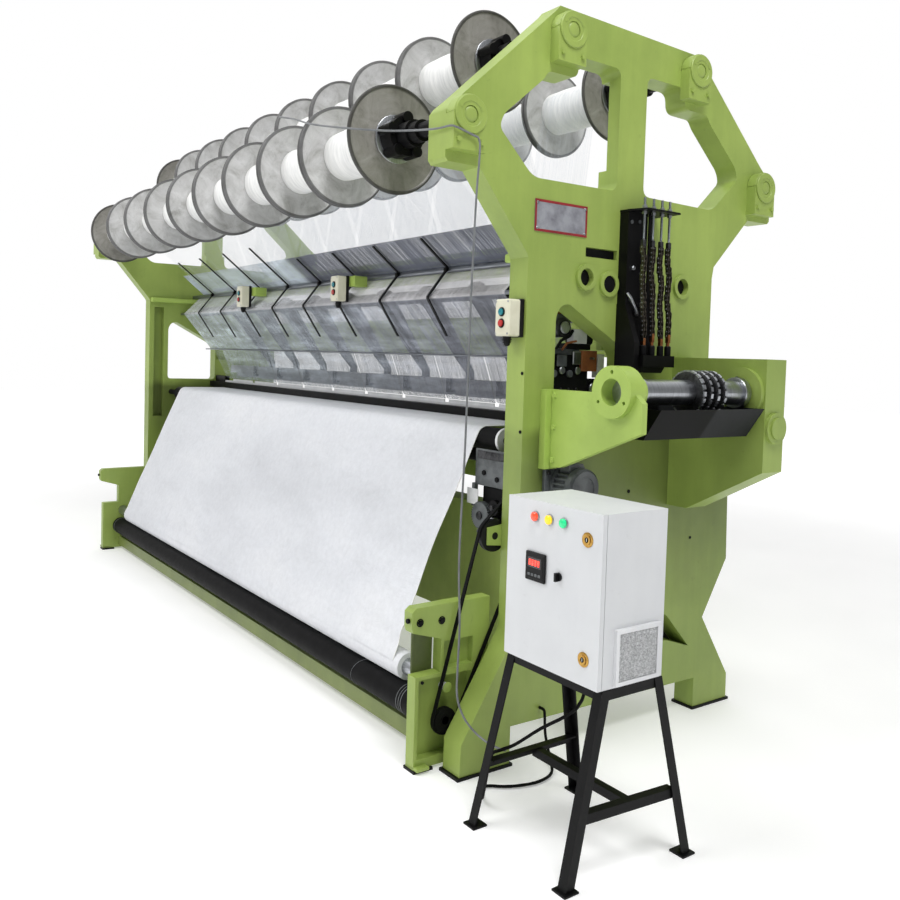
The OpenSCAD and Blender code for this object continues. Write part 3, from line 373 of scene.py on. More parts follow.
# ------------------------------------------------------------------ mesh building
class Build:
    """Collects faces with material slots and makes one object of them."""
    def __init__(self, name, origin=(0, 0, 0)):
        self.name = name; self.v = []; self.f = []; self.mi = []; self.mats = []
        self.o = Vector(origin)

    def slot(self, mat):
        if mat not in self.mats:
            self.mats.append(mat)
        return self.mats.index(mat)

    def add(self, verts, faces, mat):
        s = self.slot(mat); b = len(self.v)
        self.v += [Vector(p) for p in verts]
        for f in faces:
            self.f.append([b + i for i in f]); self.mi.append(s)

    def cbox(self, lo, hi, mat, c=0.002):
        """Box with chamfered edges, corners given in metres."""
        lo, hi = Vector(lo), Vector(hi)
        c = min(c, *(0.45 * (hi[i] - lo[i]) for i in range(3)))
        bm = bmesh.new()
        for x in (0, 1):
            for y in (0, 1):
                for z in (0, 1):
                    p = [(hi if q else lo)[i] for i, q in enumerate((x, y, z))]
                    d = [-c if q else c for q in (x, y, z)]
                    for k in range(3):
                        bm.verts.new([p[i] + (0 if i == k else d[i]) for i in range(3)])
        self._hull(bm, mat)

    def _hull(self, bm, mat):
        bmesh.ops.convex_hull(bm, input=bm.verts)
        bmesh.ops.dissolve_limit(bm, angle_limit=rad(1), verts=bm.verts, edges=bm.edges)
        bm.verts.ensure_lookup_table()
        idx = {v: i for i, v in enumerate(bm.verts)}
        self.add([v.co.copy() for v in bm.verts], [[idx[v] for v in f.verts] for f in bm.faces], mat)
        bm.free()

    def lathe(self, prof, centre, axis, mat, n=48, closed=False, a0=0.0):
        """Turns (radius, along) points round an axis ('X', 'Y' or 'Z') through centre."""
        i = 'XYZ'.index(axis); j, k = (i + 1) % 3, (i + 2) % 3
        vs, fs = [], []
        m = len(prof)
        for s in range(n):
            a = a0 + 2 * math.pi * s / n
            for r, h in prof:
                p = [0, 0, 0]
                p[i] = centre[i] + h; p[j] = centre[j] + r * math.cos(a); p[k] = centre[k] + r * math.sin(a)
                vs.append(p)
        last = m if closed else m - 1
        for s in range(n):
            t = (s + 1) % n
            for q in range(last):
                w = (q + 1) % m
                fs.append([s * m + q, t * m + q, t * m + w, s * m + w])
        if not closed:
            fs.append([s * m for s in range(n - 1, -1, -1)])
            fs.append([s * m + m - 1 for s in range(n)])
        self.add(vs, fs, mat)

    def rod(self, centre, axis, r, a, b, mat, n=32, c=0.0015):
        c = min(c, r * 0.4, (b - a) * 0.4)
        self.lathe([(r - c, a), (r, a + c), (r, b - c), (r - c, b)], centre, axis, mat, n)

    def prism(self, pts, axis, a, b, mat):
        """Pushes a 2D outline (the two other axes in cyclic order) along an axis."""
        i = 'XYZ'.index(axis); j, k = (i + 1) % 3, (i + 2) % 3
        vs = []
        for h in (a, b):
            for u, w in pts:
                p = [0, 0, 0]; p[i] = h; p[j] = u; p[k] = w
                vs.append(p)
        m = len(pts)
        fs = [list(range(m - 1, -1, -1)), list(range(m, 2 * m))]
        fs += [[q, (q + 1) % m, m + (q + 1) % m, m + q] for q in range(m)]
        self.add(vs, fs, mat)

    def tube(self, P, r, mat, n=10):
        P = [Vector(p) for p in P]
        m = len(P); vs, fs = [], []
        up = Vector((0.31, 0.17, 0.93)).normalized()
        for i in range(m):
            t = (P[min(i + 1, m - 1)] - P[max(i - 1, 0)]).normalized()
            u = t.cross(up).normalized(); up2 = u.cross(t)
            for s in range(n):
                a = 2 * math.pi * s / n
                vs.append(P[i] + r * (math.cos(a) * u + math.sin(a) * up2))
        for i in range(m - 1):
            for s in range(n):
                t = (s + 1) % n
                fs.append([i * n + s, i * n + t, (i + 1) * n + t, (i + 1) * n + s])
        fs.append(list(range(n - 1, -1, -1))); fs.append([(m - 1) * n + s for s in range(n)])
        self.add(vs, fs, mat)

    def make(self, body, slot=None, replaces=(), smooth=35.0, bevel=None):
        me = bpy.data.meshes.new(self.name)
        me.from_pydata([p - self.o for p in self.v], [], self.f)
        for m in self.mats:
            me.materials.append(m)
        me.polygons.foreach_set("material_index", self.mi)
        me.validate()
        bm = bmesh.new(); bm.from_mesh(me)
        bmesh.ops.recalc_face_normals(bm, faces=bm.faces)
        bm.to_mesh(me); bm.free()
        if smooth:
            me.polygons.foreach_set("use_smooth", [True] * len(me.polygons))
            me.set_sharp_from_angle(angle=rad(smooth))
        ob = bpy.data.objects.new(self.name, me)
        ob.location = self.o
        scene.collection.objects.link(ob)
        if bevel:
            b = ob.modifiers.new("edge", 'BEVEL'); b.width = bevel; b.segments = 2; b.limit_method = 'ANGLE'; b.angle_limit = rad(40)
        bpy.context.view_layer.update()
        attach(ob, body)
        if replaces:
            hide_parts(*replaces)
        return ob


def paint(mat, *names):
    for n in names:
        me = N[n].data
        me.materials.clear()
        me.materials.append(mat)


def soften(width, *names, seg=2, ang=40):
    """Rounded edges on a CAD node, as castings and sheet metal have."""
    for n in names:
        o = N[n]
        w = o.modifiers.new("weld", 'WELD'); w.merge_threshold = 2e-5
        d = o.modifiers.new("flat", 'DECIMATE'); d.decimate_type = 'DISSOLVE'; d.angle_limit = rad(0.6)
        b = o.modifiers.new("edge", 'BEVEL'); b.width = width; b.segments = seg; b.limit_method = 'ANGLE'; b.angle_limit = rad(ang)
        b.use_clamp_overlap = True
        nn = o.modifiers.new("shade", 'WEIGHTED_NORMAL'); nn.keep_sharp = False


# ------------------------------------------------------------------ CAD nodes keep their shape and get finishes
paint(GREEN, "side_frames", "arches", "bearing_caps", "cross_beams", "takeup_brackets", "drum_rear_bracket")
paint(GREEN_F, "side_frames")
paint(GREEN_L, "drum_front_bracket")
paint(BLACKP, "foot_pads", "front_beam_shaft", "top_beam_shaft", "rear_beam_shaft", "spare_beam_shaft", "rod_supports", "needle_bed", "chain_column", "oil_tray", "control_stand")
paint(DARKST, "pattern_drum", "pattern_chains")
paint(BLACKM, "rocker")
paint(GREEN, "frame_bolts")
paint(GREEN_B, "cross_beams")
paint(STEEL_X, "tension_rails", "main_shaft")
paint(STEEL, "drum_shaft")
paint(ALU, "guide_bar_front", "guide_bar_middle", "guide_bar_rear")
paint(FLANGE, "front_spools", "top_spools", "rear_spools")
paint(YARN, "front_yarn", "top_yarn", "rear_yarn")
paint(WARP, "warp_sheets")
paint(CLOTH, "cloth", "cloth_roll")
paint(WHITEP, "needle_bar")
paint(GREYP, "motor")
paint(RUBBER, "takedown_roller_upper", "takedown_roller_lower", "batch_roller", "takeup_belt", "control_cable")
paint(BLACKPL, "takeup_pulley", "selector_knob", "door_instruments", "vent_fan")
paint(BOXP, "control_box", "control_door")
paint(IVORY, "button_stations")
paint(WHITEP, "vent_grille")
# black towards the front and dark grey behind: the grey half's lighter tone is partly painted light
k = Mat("tray_paint")
sp = k.add("ShaderNodeSeparateXYZ")
k.link(k.tc.outputs["Object"], sp.inputs[0])
tone = k.ramp(k.math('ADD', sp.outputs["Y"], 0.5), [(0.56, srgb(8, 8, 9)), (0.575, srgb(44, 45, 47))])
tn = k.noise(16.0, 5.0, 0.7)
k.set(color=k.mix(0.5, tone, k.ramp(tn, [(0.3, 0.6), (0.7, 1.0)]), 'MULTIPLY'), rough=0.5, spec=0.1, normal=k.bump(k.noise(120.0, 3.0), 0.1, 0.001))
paint(k.m, "oil_tray")
paint(BRASS, "door_lock_upper", "door_lock_lower")
paint(TEAL, "start_button_near", "start_button_middle", "start_button_far")
paint(RED, "stop_button_near", "stop_button_middle", "stop_button_far")
paint(GREYCABLE, "hanging_cable")
soften(0.008, "side_frames", "arches")
soften(0.004, "bearing_caps", "takeup_brackets", "drum_rear_bracket", "drum_front_bracket", "cross_beams")
soften(0.003, "control_box", "control_door")

# ------------------------------------------------------------------ spools and yarn
ROWS = {"front": (-885, 2487), "top": (-402, 2898), "rear": (358, 2898)}
PITCH = 440.0
rng = random.Random(4)


def spool_row(tag):
    y, z = ROWS[tag]
    o = M(0, y, z)
    b = Build(tag + "_spool_row", o)
    k = Build(tag + "_wound_yarn", o)
    for i in range(-4, 5):
        c = M(i * PITCH, y, z)
        for s in (-1, 1):
            # flange: flat turned plate with a rolled rim and a hub boss, outer face first
            h = 0.217
            prof = [(0.0305, h), (0.058, h), (0.062, h - 0.004), (0.086, h - 0.004), (0.090, h - 0.006), (0.203, h - 0.006), (0.206, h - 0.003), (0.210, h),
                    (0.215, h), (0.219, h - 0.004), (0.219, h - 0.011), (0.215, h - 0.015), (0.210, h - 0.015), (0.206, h - 0.012), (0.203, h - 0.0105), (0.0305, h - 0.0105)]
            b.lathe([(r, s * a) for r, a in prof], c, 'X', FLANGE_W if i * s == 4 else FLANGE, 72, closed=True)
            for q in range(6):
                a = q * math.pi / 3 + 0.3
                b.rod(c + Vector((0, 0.074 * math.cos(a), 0.074 * math.sin(a))), 'X', 0.006, *sorted((s * (h - 0.004), s * (h + 0.0015))), FLANGE, 8, 0.001)
        wob = [0.0012 * math.sin(1.7 * q + i) for q in range(9)]
        pr = [(0.0765, -0.206), (0.104, -0.206), (0.1055 + wob[0], -0.200)] + [(0.1055 + wob[q], -0.200 + q * 0.05) for q in range(1, 8)] + [(0.1055 + wob[8], 0.200), (0.104, 0.206), (0.0765, 0.206)]
        k.lathe(pr, c, 'X', YARN, 56, closed=True)
    # steel backing rings at both ends of the row
    for s in (-1, 1):
        c = M(s * 1977.5, y, z)
        b.lathe([(r, s * a) for r, a in ((0.0305, 0.0), (0.094, 0.0), (0.097, 0.002), (0.097, 0.005), (0.094, 0.0065), (0.0305, 0.0065))], c, 'X', STEEL, 56, closed=True)
    b.make(tag + "_beam", "aluminium", (tag + "_spools",))
    k.make(tag + "_beam", "yarn", (tag + "_yarn",))


for tag in ROWS:
    spool_row(tag)


# ------------------------------------------------------------------ warp yarns
def arc(c, r, a0, a1, n):
    return [(c[0] + r * math.cos(rad(a0 + (a1 - a0) * i / n)), c[1] + r * math.sin(rad(a0 + (a1 - a0) * i / n))) for i in range(n + 1)]


RAIL, ROD, RAIL2, RAIL3, THIN = (-180, 2056), (-284, 1912), (0, 2130), (170, 2130), (-68, 1628)
YR, RR, RD = 107.6, 15.0, 11.0


def tangent(c1, r1, c2, r2, side):
    """Normal at which a straight run leaves one circle for another."""
    d = Vector((c2[0] - c1[0], c2[1] - c1[1])); L = d.length; d /= L
    k = (r1 - r2) / L
    n = d * k + Vector((-d[1], d[0])) * side * math.sqrt(1 - k * k)
    return n, math.degrees(math.atan2(n[1], n[0]))


def on(c, r, n):
    return (c[0] + r * n[0], c[1] + r * n[1])


def lerp2(p, q, t):
    return (p[0] + (q[0] - p[0]) * t, p[1] + (q[1] - p[1]) * t)


def ribbons(name, p, w0, w1, count, wide, mat, x_from=-4, x_to=4, seed=4, ext=(0, 0)):
    """A sheet of separate flat yarns along one path; the sheet spreads from w0 to w1, and past the last spool by ext."""
    r = random.Random(seed)
    b = Build(name)
    vs, fs = [], []
    n = len(p)
    for i in range(x_from, x_to + 1):
        more = int(count * ext[1] / (2 * w1)) if i == -4 else 0
        for j in range(-more, count):
            u = (j + 0.5) / count * 2 - 1 + r.uniform(-0.3, 0.3) / count
            far = min(0.0, (j + 0.5) / more) if j < 0 else 0.0
            ww = wide * r.uniform(0.75, 1.25) / 2
            base = len(vs)
            for q, (y, z) in enumerate(p):
                t = q / (n - 1)
                if far < 0.0:
                    x = i * PITCH - (w0 + (w1 - w0) * t) + far * (ext[0] + (ext[1] - ext[0]) * t)
                else:
                    x = i * PITCH + u * (w0 + (w1 - w0) * t)
                vs.append(M(x - ww, y, z)); vs.append(M(x + ww, y, z))
            for q in range(n - 1):
                fs.append([base + 2 * q, base + 2 * q + 1, base + 2 * q + 3, base + 2 * q + 2])
    b.add(vs, fs, mat)
    return b


def warp():
    F, T, B = ROWS["front"], ROWS["top"], ROWS["rear"]
    n1, a1 = tangent(F, YR, RAIL, RR, 1)
    n4, a4 = tangent(RAIL, RR, ROD, -RD, 1)
    n5, a5 = tangent(ROD, RD, THIN, -6.2, -1)
    n8, a8 = tangent(THIN, 6.2, (26, 1400), 0, 1)
    up0, up1 = on(F, YR, n1), on(RAIL, RR, n1)
    full = math.dist(up0, up1)
    band = lerp2(up1, up0, 232.0 / full)
    ribbons("front_warp_upper", arc(F, YR, a1 + 30, a1, 3) + [band], 198, 219.5, 96, 0.9, WARP).make("machine", "warp_yarn", ("warp_sheets",), smooth=None)
    over = [band, up1] + arc(RAIL, RR, a1, a4, 5)
    ribbons("front_warp_band", over, 219.5, 219.5, 96, 4.2, WARP_BAND, -1, 4).make("machine", "warp_yarn", smooth=None)
    ribbons("front_warp_band_far", over, 219.5, 219.5, 96, 3.2, WARP_BAND, -4, -2, ext=(120, 250)).make("machine", "warp_yarn", smooth=None)
    ribbons("front_warp_turn", [on(RAIL, RR, n4)] + arc(ROD, RD, a4 + 180, a5 + 360, 4), 219.5, 219.5, 96, 3.2, WARP_MID, ext=(250, 250)).make("machine", "warp_yarn", smooth=None)
    low = [on(ROD, RD, n5), (THIN[0] - 6.2 * n5[0], THIN[1] - 6.2 * n5[1])]
    ribbons("front_warp_lower", low, 219.5, 219.5, 96, 3.5, WARP_LOW, ext=(250, 250)).make("machine", "warp_yarn", smooth=None)
    ribbons("front_warp_ends", [low[1], on(THIN, 6.2, n8), (26, 1400), (33, 1388.5)], 219.5, 212, 96, 2.8, WARP_LOW, ext=(250, 60)).make("machine", "warp_yarn", smooth=None)
    n2, a2 = tangent(T, YR, RAIL2, RR, 1)
    n6, a6 = tangent(RAIL2, RR, (97, 1535), 0, 1)
    ribbons("top_warp", arc(T, YR, a2 + 30, a2, 3) + arc(RAIL2, RR, a2, a6, 2) + [(80, 1535), (80, 1450), (80, 1412), (37, 1389)], 198, 204, 60, 1.1, WARP, seed=5).make("machine", "warp_yarn", smooth=None)
    n3, a3 = tangent(B, YR, RAIL3, RR, -1)
    n7, a7 = tangent(RAIL3, RR, (139, 1535), 0, -1)
    ribbons("rear_warp", arc(B, YR, a3 - 30, a3, 3) + arc(RAIL3, RR, a3, a7 if a7 > 0 else a7 + 360, 2) + [(120, 1535), (120, 1450), (120, 1412), (38, 1389)], 198, 204, 60, 1.1, WARP, seed=6).make("machine", "warp_yarn", smooth=None)


warp()


# ------------------------------------------------------------------ fabric
SELVEDGE = painted("selvedge_yarn", srgb(246, 246, 245), srgb(236, 236, 236), srgb(220, 220, 220), scale=20.0, rough=(0.7, 0.8))


def fabric():
    TD1, ROLL = Vector((-365, 1262)), Vector((-770, 311.9))
    d = (ROLL - TD1).normalized()
    na = math.degrees(math.atan2(d[0], -d[1])) + 180
    ro = 51.3
    e = Vector((math.cos(rad(na)), math.sin(rad(na))))
    path = [Vector((-36, TD1[1] + ro)), Vector((-150, TD1[1] + ro)), Vector((-260, TD1[1] + ro))]
    path += [Vector(q) for q in arc(TD1, ro, 90, na, 8)]
    a = path[-1]; b = ROLL + 59.3 * e
    for i in range(1, 61):
        path.append(a + (b - a) * (i / 60))
    nx = 140
    hw = 1970.0
    top, bot = [], []
    n = len(path)
    L = [0.0]
    for i in range(1, n):
        L.append(L[-1] + (path[i] - path[i - 1]).length)
    r2 = random.Random(9)
    ph = [r2.uniform(0, 6.28) for _ in range(8)]
    for i in range(n):
        t = (path[min(i + 1, n - 1)] - path[max(i - 1, 0)]).normalized()
        nrm = Vector((-t[1], t[0]))
        if nrm[0] > 0 and i > 10:
            nrm = -nrm
        s = max(0.0, (L[i] - L[10]) / (L[-1] - L[10]))
        free = math.sin(math.pi * min(1, s)) if i > 10 else 0.0
        for j in range(nx + 1):
            u = j / nx * 2 - 1
            x = hw * u
            bil = free * (7.0 * math.sin(2.3 * u + ph[0]) * math.sin(3.0 * s + ph[1]) + 4.5 * math.sin(9 * u + 5 * s + ph[2]) + 3.0 * math.sin(17 * u - 6 * s + ph[3]))
            low = max(0.0, s - 0.72) / 0.28 if i > 10 else 0.0
            bil += low * (1 - low) * 4 * (5.0 * math.sin(31 * u + 3 * s + ph[4]) * max(0, -u + 0.1) + 2.0 * math.sin(43 * u + ph[5]))
            pk = math.exp(-((s - 0.93) / 0.06) ** 2) * max(0.0, math.sin(math.pi * min(1.0, max(0.0, (-u + 0.15) / 1.05)))) if i > 10 else 0.0
            bil += pk * 13.0 * math.sin(60 * s + 9 * u + 1.5 * math.sin(13 * u + ph[7]))
            pk2 = math.exp(-((s - 0.90) / 0.09) ** 2) * max(0.0, u - 0.2) if i > 10 else 0.0
            bil += pk2 * 8.0 * math.sin(38 * s - 16 * u + ph[5])
            edge = math.exp(-((1 - abs(u)) / 0.02) ** 2) * free
            x += (math.sin(11 * s + ph[6]) * 5.0 - 6.0) * edge * (1 if u > 0 else -1)
            off = abs(bil) * 0.5 + bil * 0.5 + 4.0 * edge
            q = path[i] + nrm * off
            top.append(M(x, q[0], q[1]))
            q2 = q - nrm * 0.7
            bot.append(M(x, q2[0], q2[1]))
    W = nx + 1
    fs = []
    for i in range(n - 1):
        for j in range(nx):
            fs.append([i * W + j, i * W + j + 1, (i + 1) * W + j + 1, (i + 1) * W + j])
    b = Build("fabric_sheet")
    b.add(top, fs, CLOTH)
    # folded selvedge down both edges
    for j in (0, nx):
        b.tube([top[i * W + j] for i in range(n)], 0.0022, SELVEDGE, 6)
    ob = b.make("machine", "fabric", ("cloth",), smooth=180)
    return L[-1] / 1000.0


fabric_len = fabric()

# ------------------------------------------------------------------ blank name plate on the arch
PLATE = painted("plate_silver", srgb(150, 152, 158), srgb(112, 112, 120), srgb(128, 84, 88), scale=16, rough=(0.3, 0.45))
b = Build("name_plate")
b.cbox(M(XR + 0.3, -527, 2116), M(XR + 3.0, -247, 2241), PLATE, 0.001)
for lo_, hi_ in (((-527, 2116), (-247, 2126)), ((-527, 2231), (-247, 2241)), ((-527, 2126), (-517, 2231)), ((-257, 2126), (-247, 2231))):
    b.cbox(M(XR + 2.8, lo_[0], lo_[1]), M(XR + 4.0, hi_[0], hi_[1]), MAROON, 0.0006)
for y in (-514, -260):
    for z in (2129, 2228):
        b.rod(M(XR, y, z), 'X', 0.0055, 0.0025, 0.0062, STEEL, 12, 0.0012)
b.make("machine", "dark_steel")

# ------------------------------------------------------------------ control box front
BX0, BX1, BY0, BZ0, BZ1 = XR + 310, XR + 760, -862.0, 604.0, 1150.0
DARKGLASS = plastic("meter_window", srgb(40, 10, 12), srgb(24, 6, 8), 0.16, coat=0.6)
b = Build("panel_instruments")
b.cbox(M(XR + 416, BY0 - 10, 883), M(XR + 512, BY0 - 0.2, 979), BLACKPL, 0.003)
b.cbox(M(XR + 424, BY0 - 11.2, 891), M(XR + 504, BY0 - 9.5, 971), BLACKPL, 0.0008)
b.cbox(M(XR + 432, BY0 - 12.2, 928), M(XR + 496, BY0 - 10.8, 962), DARKGLASS, 0.0006)
for i in range(4):
    b.cbox(M(XR + 438 + 14 * i, BY0 - 12.9, 935), M(XR + 447 + 14 * i, BY0 - 12.0, 955), DIGIT, 0.0003)
for i in range(4):
    b.cbox(M(XR + 432 + 17 * i, BY0 - 13.0, 900), M(XR + 444 + 17 * i, BY0 - 11.0, 909), GREYP, 0.001)
for x, lamp in ((451, LAMP_RED), (520, LAMP_YEL), (588, LAMP_GRN)):
    c = M(XR + x, BY0, 1097)
    b.lathe([(0.0154, -0.005), (0.0178, -0.005), (0.0186, -0.0040), (0.0186, -0.0002), (0.0154, -0.0002)], c, 'Y', STEEL, 32, closed=True)
    b.lathe([(0.0001, -0.0150), (0.008, -0.0144), (0.0128, -0.0126), (0.0153, -0.0096), (0.0153, -0.0010), (0.0001, -0.0010)], c, 'Y', lamp, 28)
b.make("door", "black_plastic", ("door_instruments",))
b = Build("lock_rings")
for z in (1063, 688):
    c = M(XR + 696, BY0, z)
    b.lathe([(0.0158, -0.0034), (0.0212, -0.0034), (0.0236, -0.0022), (0.0236, -0.0002), (0.0158, -0.0002)], c, 'Y', BRASS, 40, closed=True)
b.make("door", "brass")

# door seam on the box
b = Build("box_gasket")
for x0, x1, z0, z1 in ((BX0 + 3, BX1 - 3, BZ0 + 3, BZ0 + 9), (BX0 + 3, BX1 - 3, BZ1 - 9, BZ1 - 3), (BX0 + 3, BX0 + 9, BZ0 + 9, BZ1 - 9), (BX1 - 9, BX1 - 3, BZ0 + 9, BZ1 - 9)):
    b.cbox(M(x0, BY0 + 18.2, z0), M(x1, BY0 + 19.8, z1), RUBBER, 0.0004)
b.make("machine", "rubber")

# fan guard behind the louvre
b = Build("fan_guard")
c = M(BX1, -698, 700)
for r in (0.020, 0.034, 0.048, 0.061):
    b.lathe([(r - 0.0012, 0.0020), (r + 0.0012, 0.0020), (r + 0.0012, 0.0040), (r - 0.0012, 0.0040)], c, 'X', BLACKPL, 36, closed=True)
b.make("machine", "black_plastic")

# ------------------------------------------------------------------ push-button stations
b = Build("button_station_set")
for s0, s1, s2, s3, strap in ((XR - 58, -626, 1775, -550.2, 0), (528, -378, 1990, -304, 1), (-867, -378, 1998, -304, 1)):
    b.cbox(M(s0 - 44, s1, s2 - 72), M(s0 + 44, s1 + 60, s2 + 72), IVORY, 0.006)
    b.cbox(M(s0 - 47, s1 + 58, s2 - 75), M(s0 + 47, s3, s2 + 75), BLACKPL, 0.003)
    b.lathe([(0.007, -0.110), (0.012, -0.106), (0.017, -0.080), (0.019, -0.070)], M(s0 - 8, s1 + 36, s2), 'Z', BLACKPL, 20)
    for q in (-0.086, -0.092, -0.098):
        b.lathe([(0.0150 + (q + 0.098) * 0.25, q), (0.0175 + (q + 0.098) * 0.25, q), (0.0175 + (q + 0.098) * 0.25, q + 0.003), (0.0150 + (q + 0.098) * 0.25, q + 0.003)], M(s0 - 8, s1 + 36, s2), 'Z', BLACKPL, 20, closed=True)
    for z in (-22, 22):
        b.lathe([(0.0134, -0.0045), (0.0168, -0.0045), (0.0182, -0.0030), (0.0182, 0.0002), (0.0134, 0.0002)], M(s0, s1, s2 + z), 'Y', BLACKPL, 28, closed=True)
    for dx in (-36, 36):
        for dz in (-62, 62):
            b.rod(M(s0 + dx, s1, s2 + dz), 'Y', 0.0042, -0.0012, 0.001, STEEL, 10, 0.0006)
    if strap:
        b.cbox(M(s0 - 15, -306, 2048), M(s0 + 15, -194.3, 2060), BLACKP, 0.001)
        b.cbox(M(s0 + 16, -300, 2004), M(s0 + 96, -212, 2064), GREEN_L, 0.004)
b.make("machine", "ivory_plastic", ("button_stations",))

# ------------------------------------------------------------------ control stand in angle iron
A = [(BX0 + 16, BY0 + 40), (BX1 - 16, BY0 + 40), (BX1 - 16, BY0 + 274), (BX0 + 16, BY0 + 274)]
F = [(XR + 285, -945), (XR + 745, -950), (XR + 792, -470), (XR + 285, -470)]
SG = [(-1, -1), (1, -1), (1, 1), (-1, 1)]


def leg_at(i, z):
    k = (BZ0 - z) / BZ0
    return Vector((A[i][0] * (1 - k) + F[i][0] * k, A[i][1] * (1 - k) + F[i][1] * k, z))


def angle_iron(b, p, q, u, v, w=36.0, t=5.0):
    """L section from p to q: the corner on the line, flanges along u and v."""
    sec = [(0, 0), (w, 0), (w, t), (t, t), (t, w), (0, w)]
    vs = [M(*(e + u * a + v * c)) for e in (p, q) for a, c in sec]
    m = len(sec)
    fs = [[5, 4, 3, 0], [3, 2, 1, 0], [6, 9, 10, 11], [6, 7, 8, 9]] + [[i, (i + 1) % m, m + (i + 1) % m, m + i] for i in range(m)]
    b.add(vs, fs, BLACKP)


b = Build("angle_iron_stand")
ex, ey, ez = Vector((1, 0, 0)), Vector((0, 1, 0)), Vector((0, 0, 1))
for i in range(4):
    sx, sy = SG[i]
    off = Vector((sx * 18, sy * 18, 0))
    angle_iron(b, leg_at(i, BZ0 - 1) + off, leg_at(i, 4) + off, ex * -sx, ey * -sy)
    f = F[i]
    b.cbox(M(f[0] - 30, f[1] - 30, 0), M(f[0] + 30, f[1] + 30, 7), BLACKP, 0.001)
for i, j, s in ((0, 3, -1), (1, 2, 1)):
    angle_iron(b, leg_at(i, 228) + Vector((s * 12, 0, 0)), leg_at(j, 228) + Vector((s * 12, 0, 0)), ex * -s, ez * -1, 32)
mid0 = (leg_at(0, 224) + leg_at(3, 224)) / 2; mid1 = (leg_at(1, 224) + leg_at(2, 224)) / 2
angle_iron(b, mid0, mid1, ey, ez * -1, 30)
for p, q, u in (((BX0, BY0 + 20), (BX1, BY0 + 20), ey), ((BX0, BY0 + 290), (BX1, BY0 + 290), -ey), ((BX0, BY0 + 20), (BX0, BY0 + 290), ex), ((BX1, BY0 + 20), (BX1, BY0 + 290), -ex)):
    angle_iron(b, Vector((p[0], p[1], BZ0 - 0.3)), Vector((q[0], q[1], BZ0 - 0.3)), u, ez * -1, 34)
b.make("machine", "black_paint", ("control_stand",))

# ------------------------------------------------------------------ motor
b = Build("finned_motor")
mc = M(XR, -330, 1108)
b.cbox(M(XR + 0.2, -440, 1000), M(XR + 18, -220, 1182), GREYP, 0.003)
star = []
for i in range(96):
    a = 2 * math.pi * i / 96
    r = 0.084 if (i // 2) % 2 == 0 else 0.073
    star.append((mc[1] + r * math.cos(a), mc[2] + r * math.sin(a)))
b.prism(star, 'X', mc[0] + 0.030, mc[0] + 0.102, GREYP)
b.lathe([(0.06, 0.018), (0.084, 0.018), (0.086, 0.022), (0.086, 0.032), (0.078, 0.036)], mc, 'X', GREYP, 40)
b.lathe([(0.074, 0.098), (0.083, 0.100), (0.084, 0.106), (0.082, 0.126), (0.072, 0.135), (0.05, 0.135), (0.048, 0.131)], mc, 'X', GREYP, 40)
b.cbox(M(XR + 36, -384, 1176), M(XR + 98, -304, 1206), GREYP, 0.004)
for y in (-424, -236):
    for z in (1015, 1167):
        b.rod(M(XR + 18, y, z), 'X', 0.010, 0.0, 0.009, DARKST, 6, 0.001)
b.make("machine", "grey_paint", ("motor",))

# ------------------------------------------------------------------ pattern drum and its chains
DRX, DRZ = XR + 375, 1505
b = Build("drum_discs")
for y in (-44, -2, 40, 82):
    c = M(DRX, y, DRZ)
    b.lathe([(0.0493, 0.0), (0.079, 0.0), (0.083, 0.002), (0.083, 0.014), (0.079, 0.016), (0.0493, 0.016)], c, 'Y', DARKST, 48, closed=True)
    for i in range(20):
        a = 2 * math.pi * i / 20 + y
        ca, sa = math.cos(a), math.sin(a)
        bm = bmesh.new()
        for u in (0.078, 0.0875):
            for w_ in (-0.0105, 0.0105):
                ww = w_ * (1.0 if u < 0.08 else 0.82)
                for h in (0.0012, 0.0148):
                    bm.verts.new(c + Vector((u * ca - ww * sa, h, u * sa + ww * ca)))
        b._hull(bm, STEEL)
for y in (-27.5, 14.5, 56.5):
    c = M(DRX, y, DRZ)
    b.lathe([(0.0493, 0.0015), (0.062, 0.0015), (0.066, 0.005), (0.066, 0.020), (0.062, 0.0235), (0.0493, 0.0235)], c, 'Y', DARKST, 40, closed=True)
b.make("drum", "dark_steel", ("pattern_drum",))

b = Build("shaft_collars")
for y0, y1, r in ((-326, -312, 0.058), (250, 284, 0.064)):
    c = M(DRX, y0, DRZ); h = (y1 - y0) / 1000
    b.lathe([(0.0491, 0.0), (r - 0.003, 0.0), (r, 0.003), (r, h - 0.003), (r - 0.003, h), (0.0491, h)], c, 'Y', STEEL, 44, closed=True)
    b.rod(c + Vector((0, h / 2, 0)), 'Z', 0.006, r - 0.004, r + 0.003, DARKST, 12, 0.001)
b.make("drum", "steel")


CW = 1.3


def chain_link(b, c, outer):
    """One roller-chain link hanging along Z, 19 mm pitch, c is the upper pin."""
    half = CW * (0.0062 if outer else 0.0040)
    cap = []
    for cz, a0 in ((0.0, 0), (-0.019, 180)):
        for q in range(7):
            a = rad(a0 + 180 * q / 6)
            cap.append((cz + 0.0092 * math.sin(a), 0.0092 * math.cos(a)))
    pts = [(c[2] + z, c[0] + x) for z, x in cap]
    for s in (-1, 1):
        y = c[1] + s * half
        b.prism(pts, 'Y', y - 0.0010, y + 0.0010, CHAIN)
    if outer:
        for z in (0.0, -0.019):
            b.rod(Vector((c[0], c[1], c[2] + z)), 'Y', 0.0036, -0.0082 * CW, 0.0082 * CW, STEEL, 8, 0.0006)
    else:
        for z in (0.0, -0.019):
            b.rod(Vector((c[0], c[1], c[2] + z)), 'Y', 0.0058, -0.0034, 0.0034, CHAIN, 10, 0.0004)


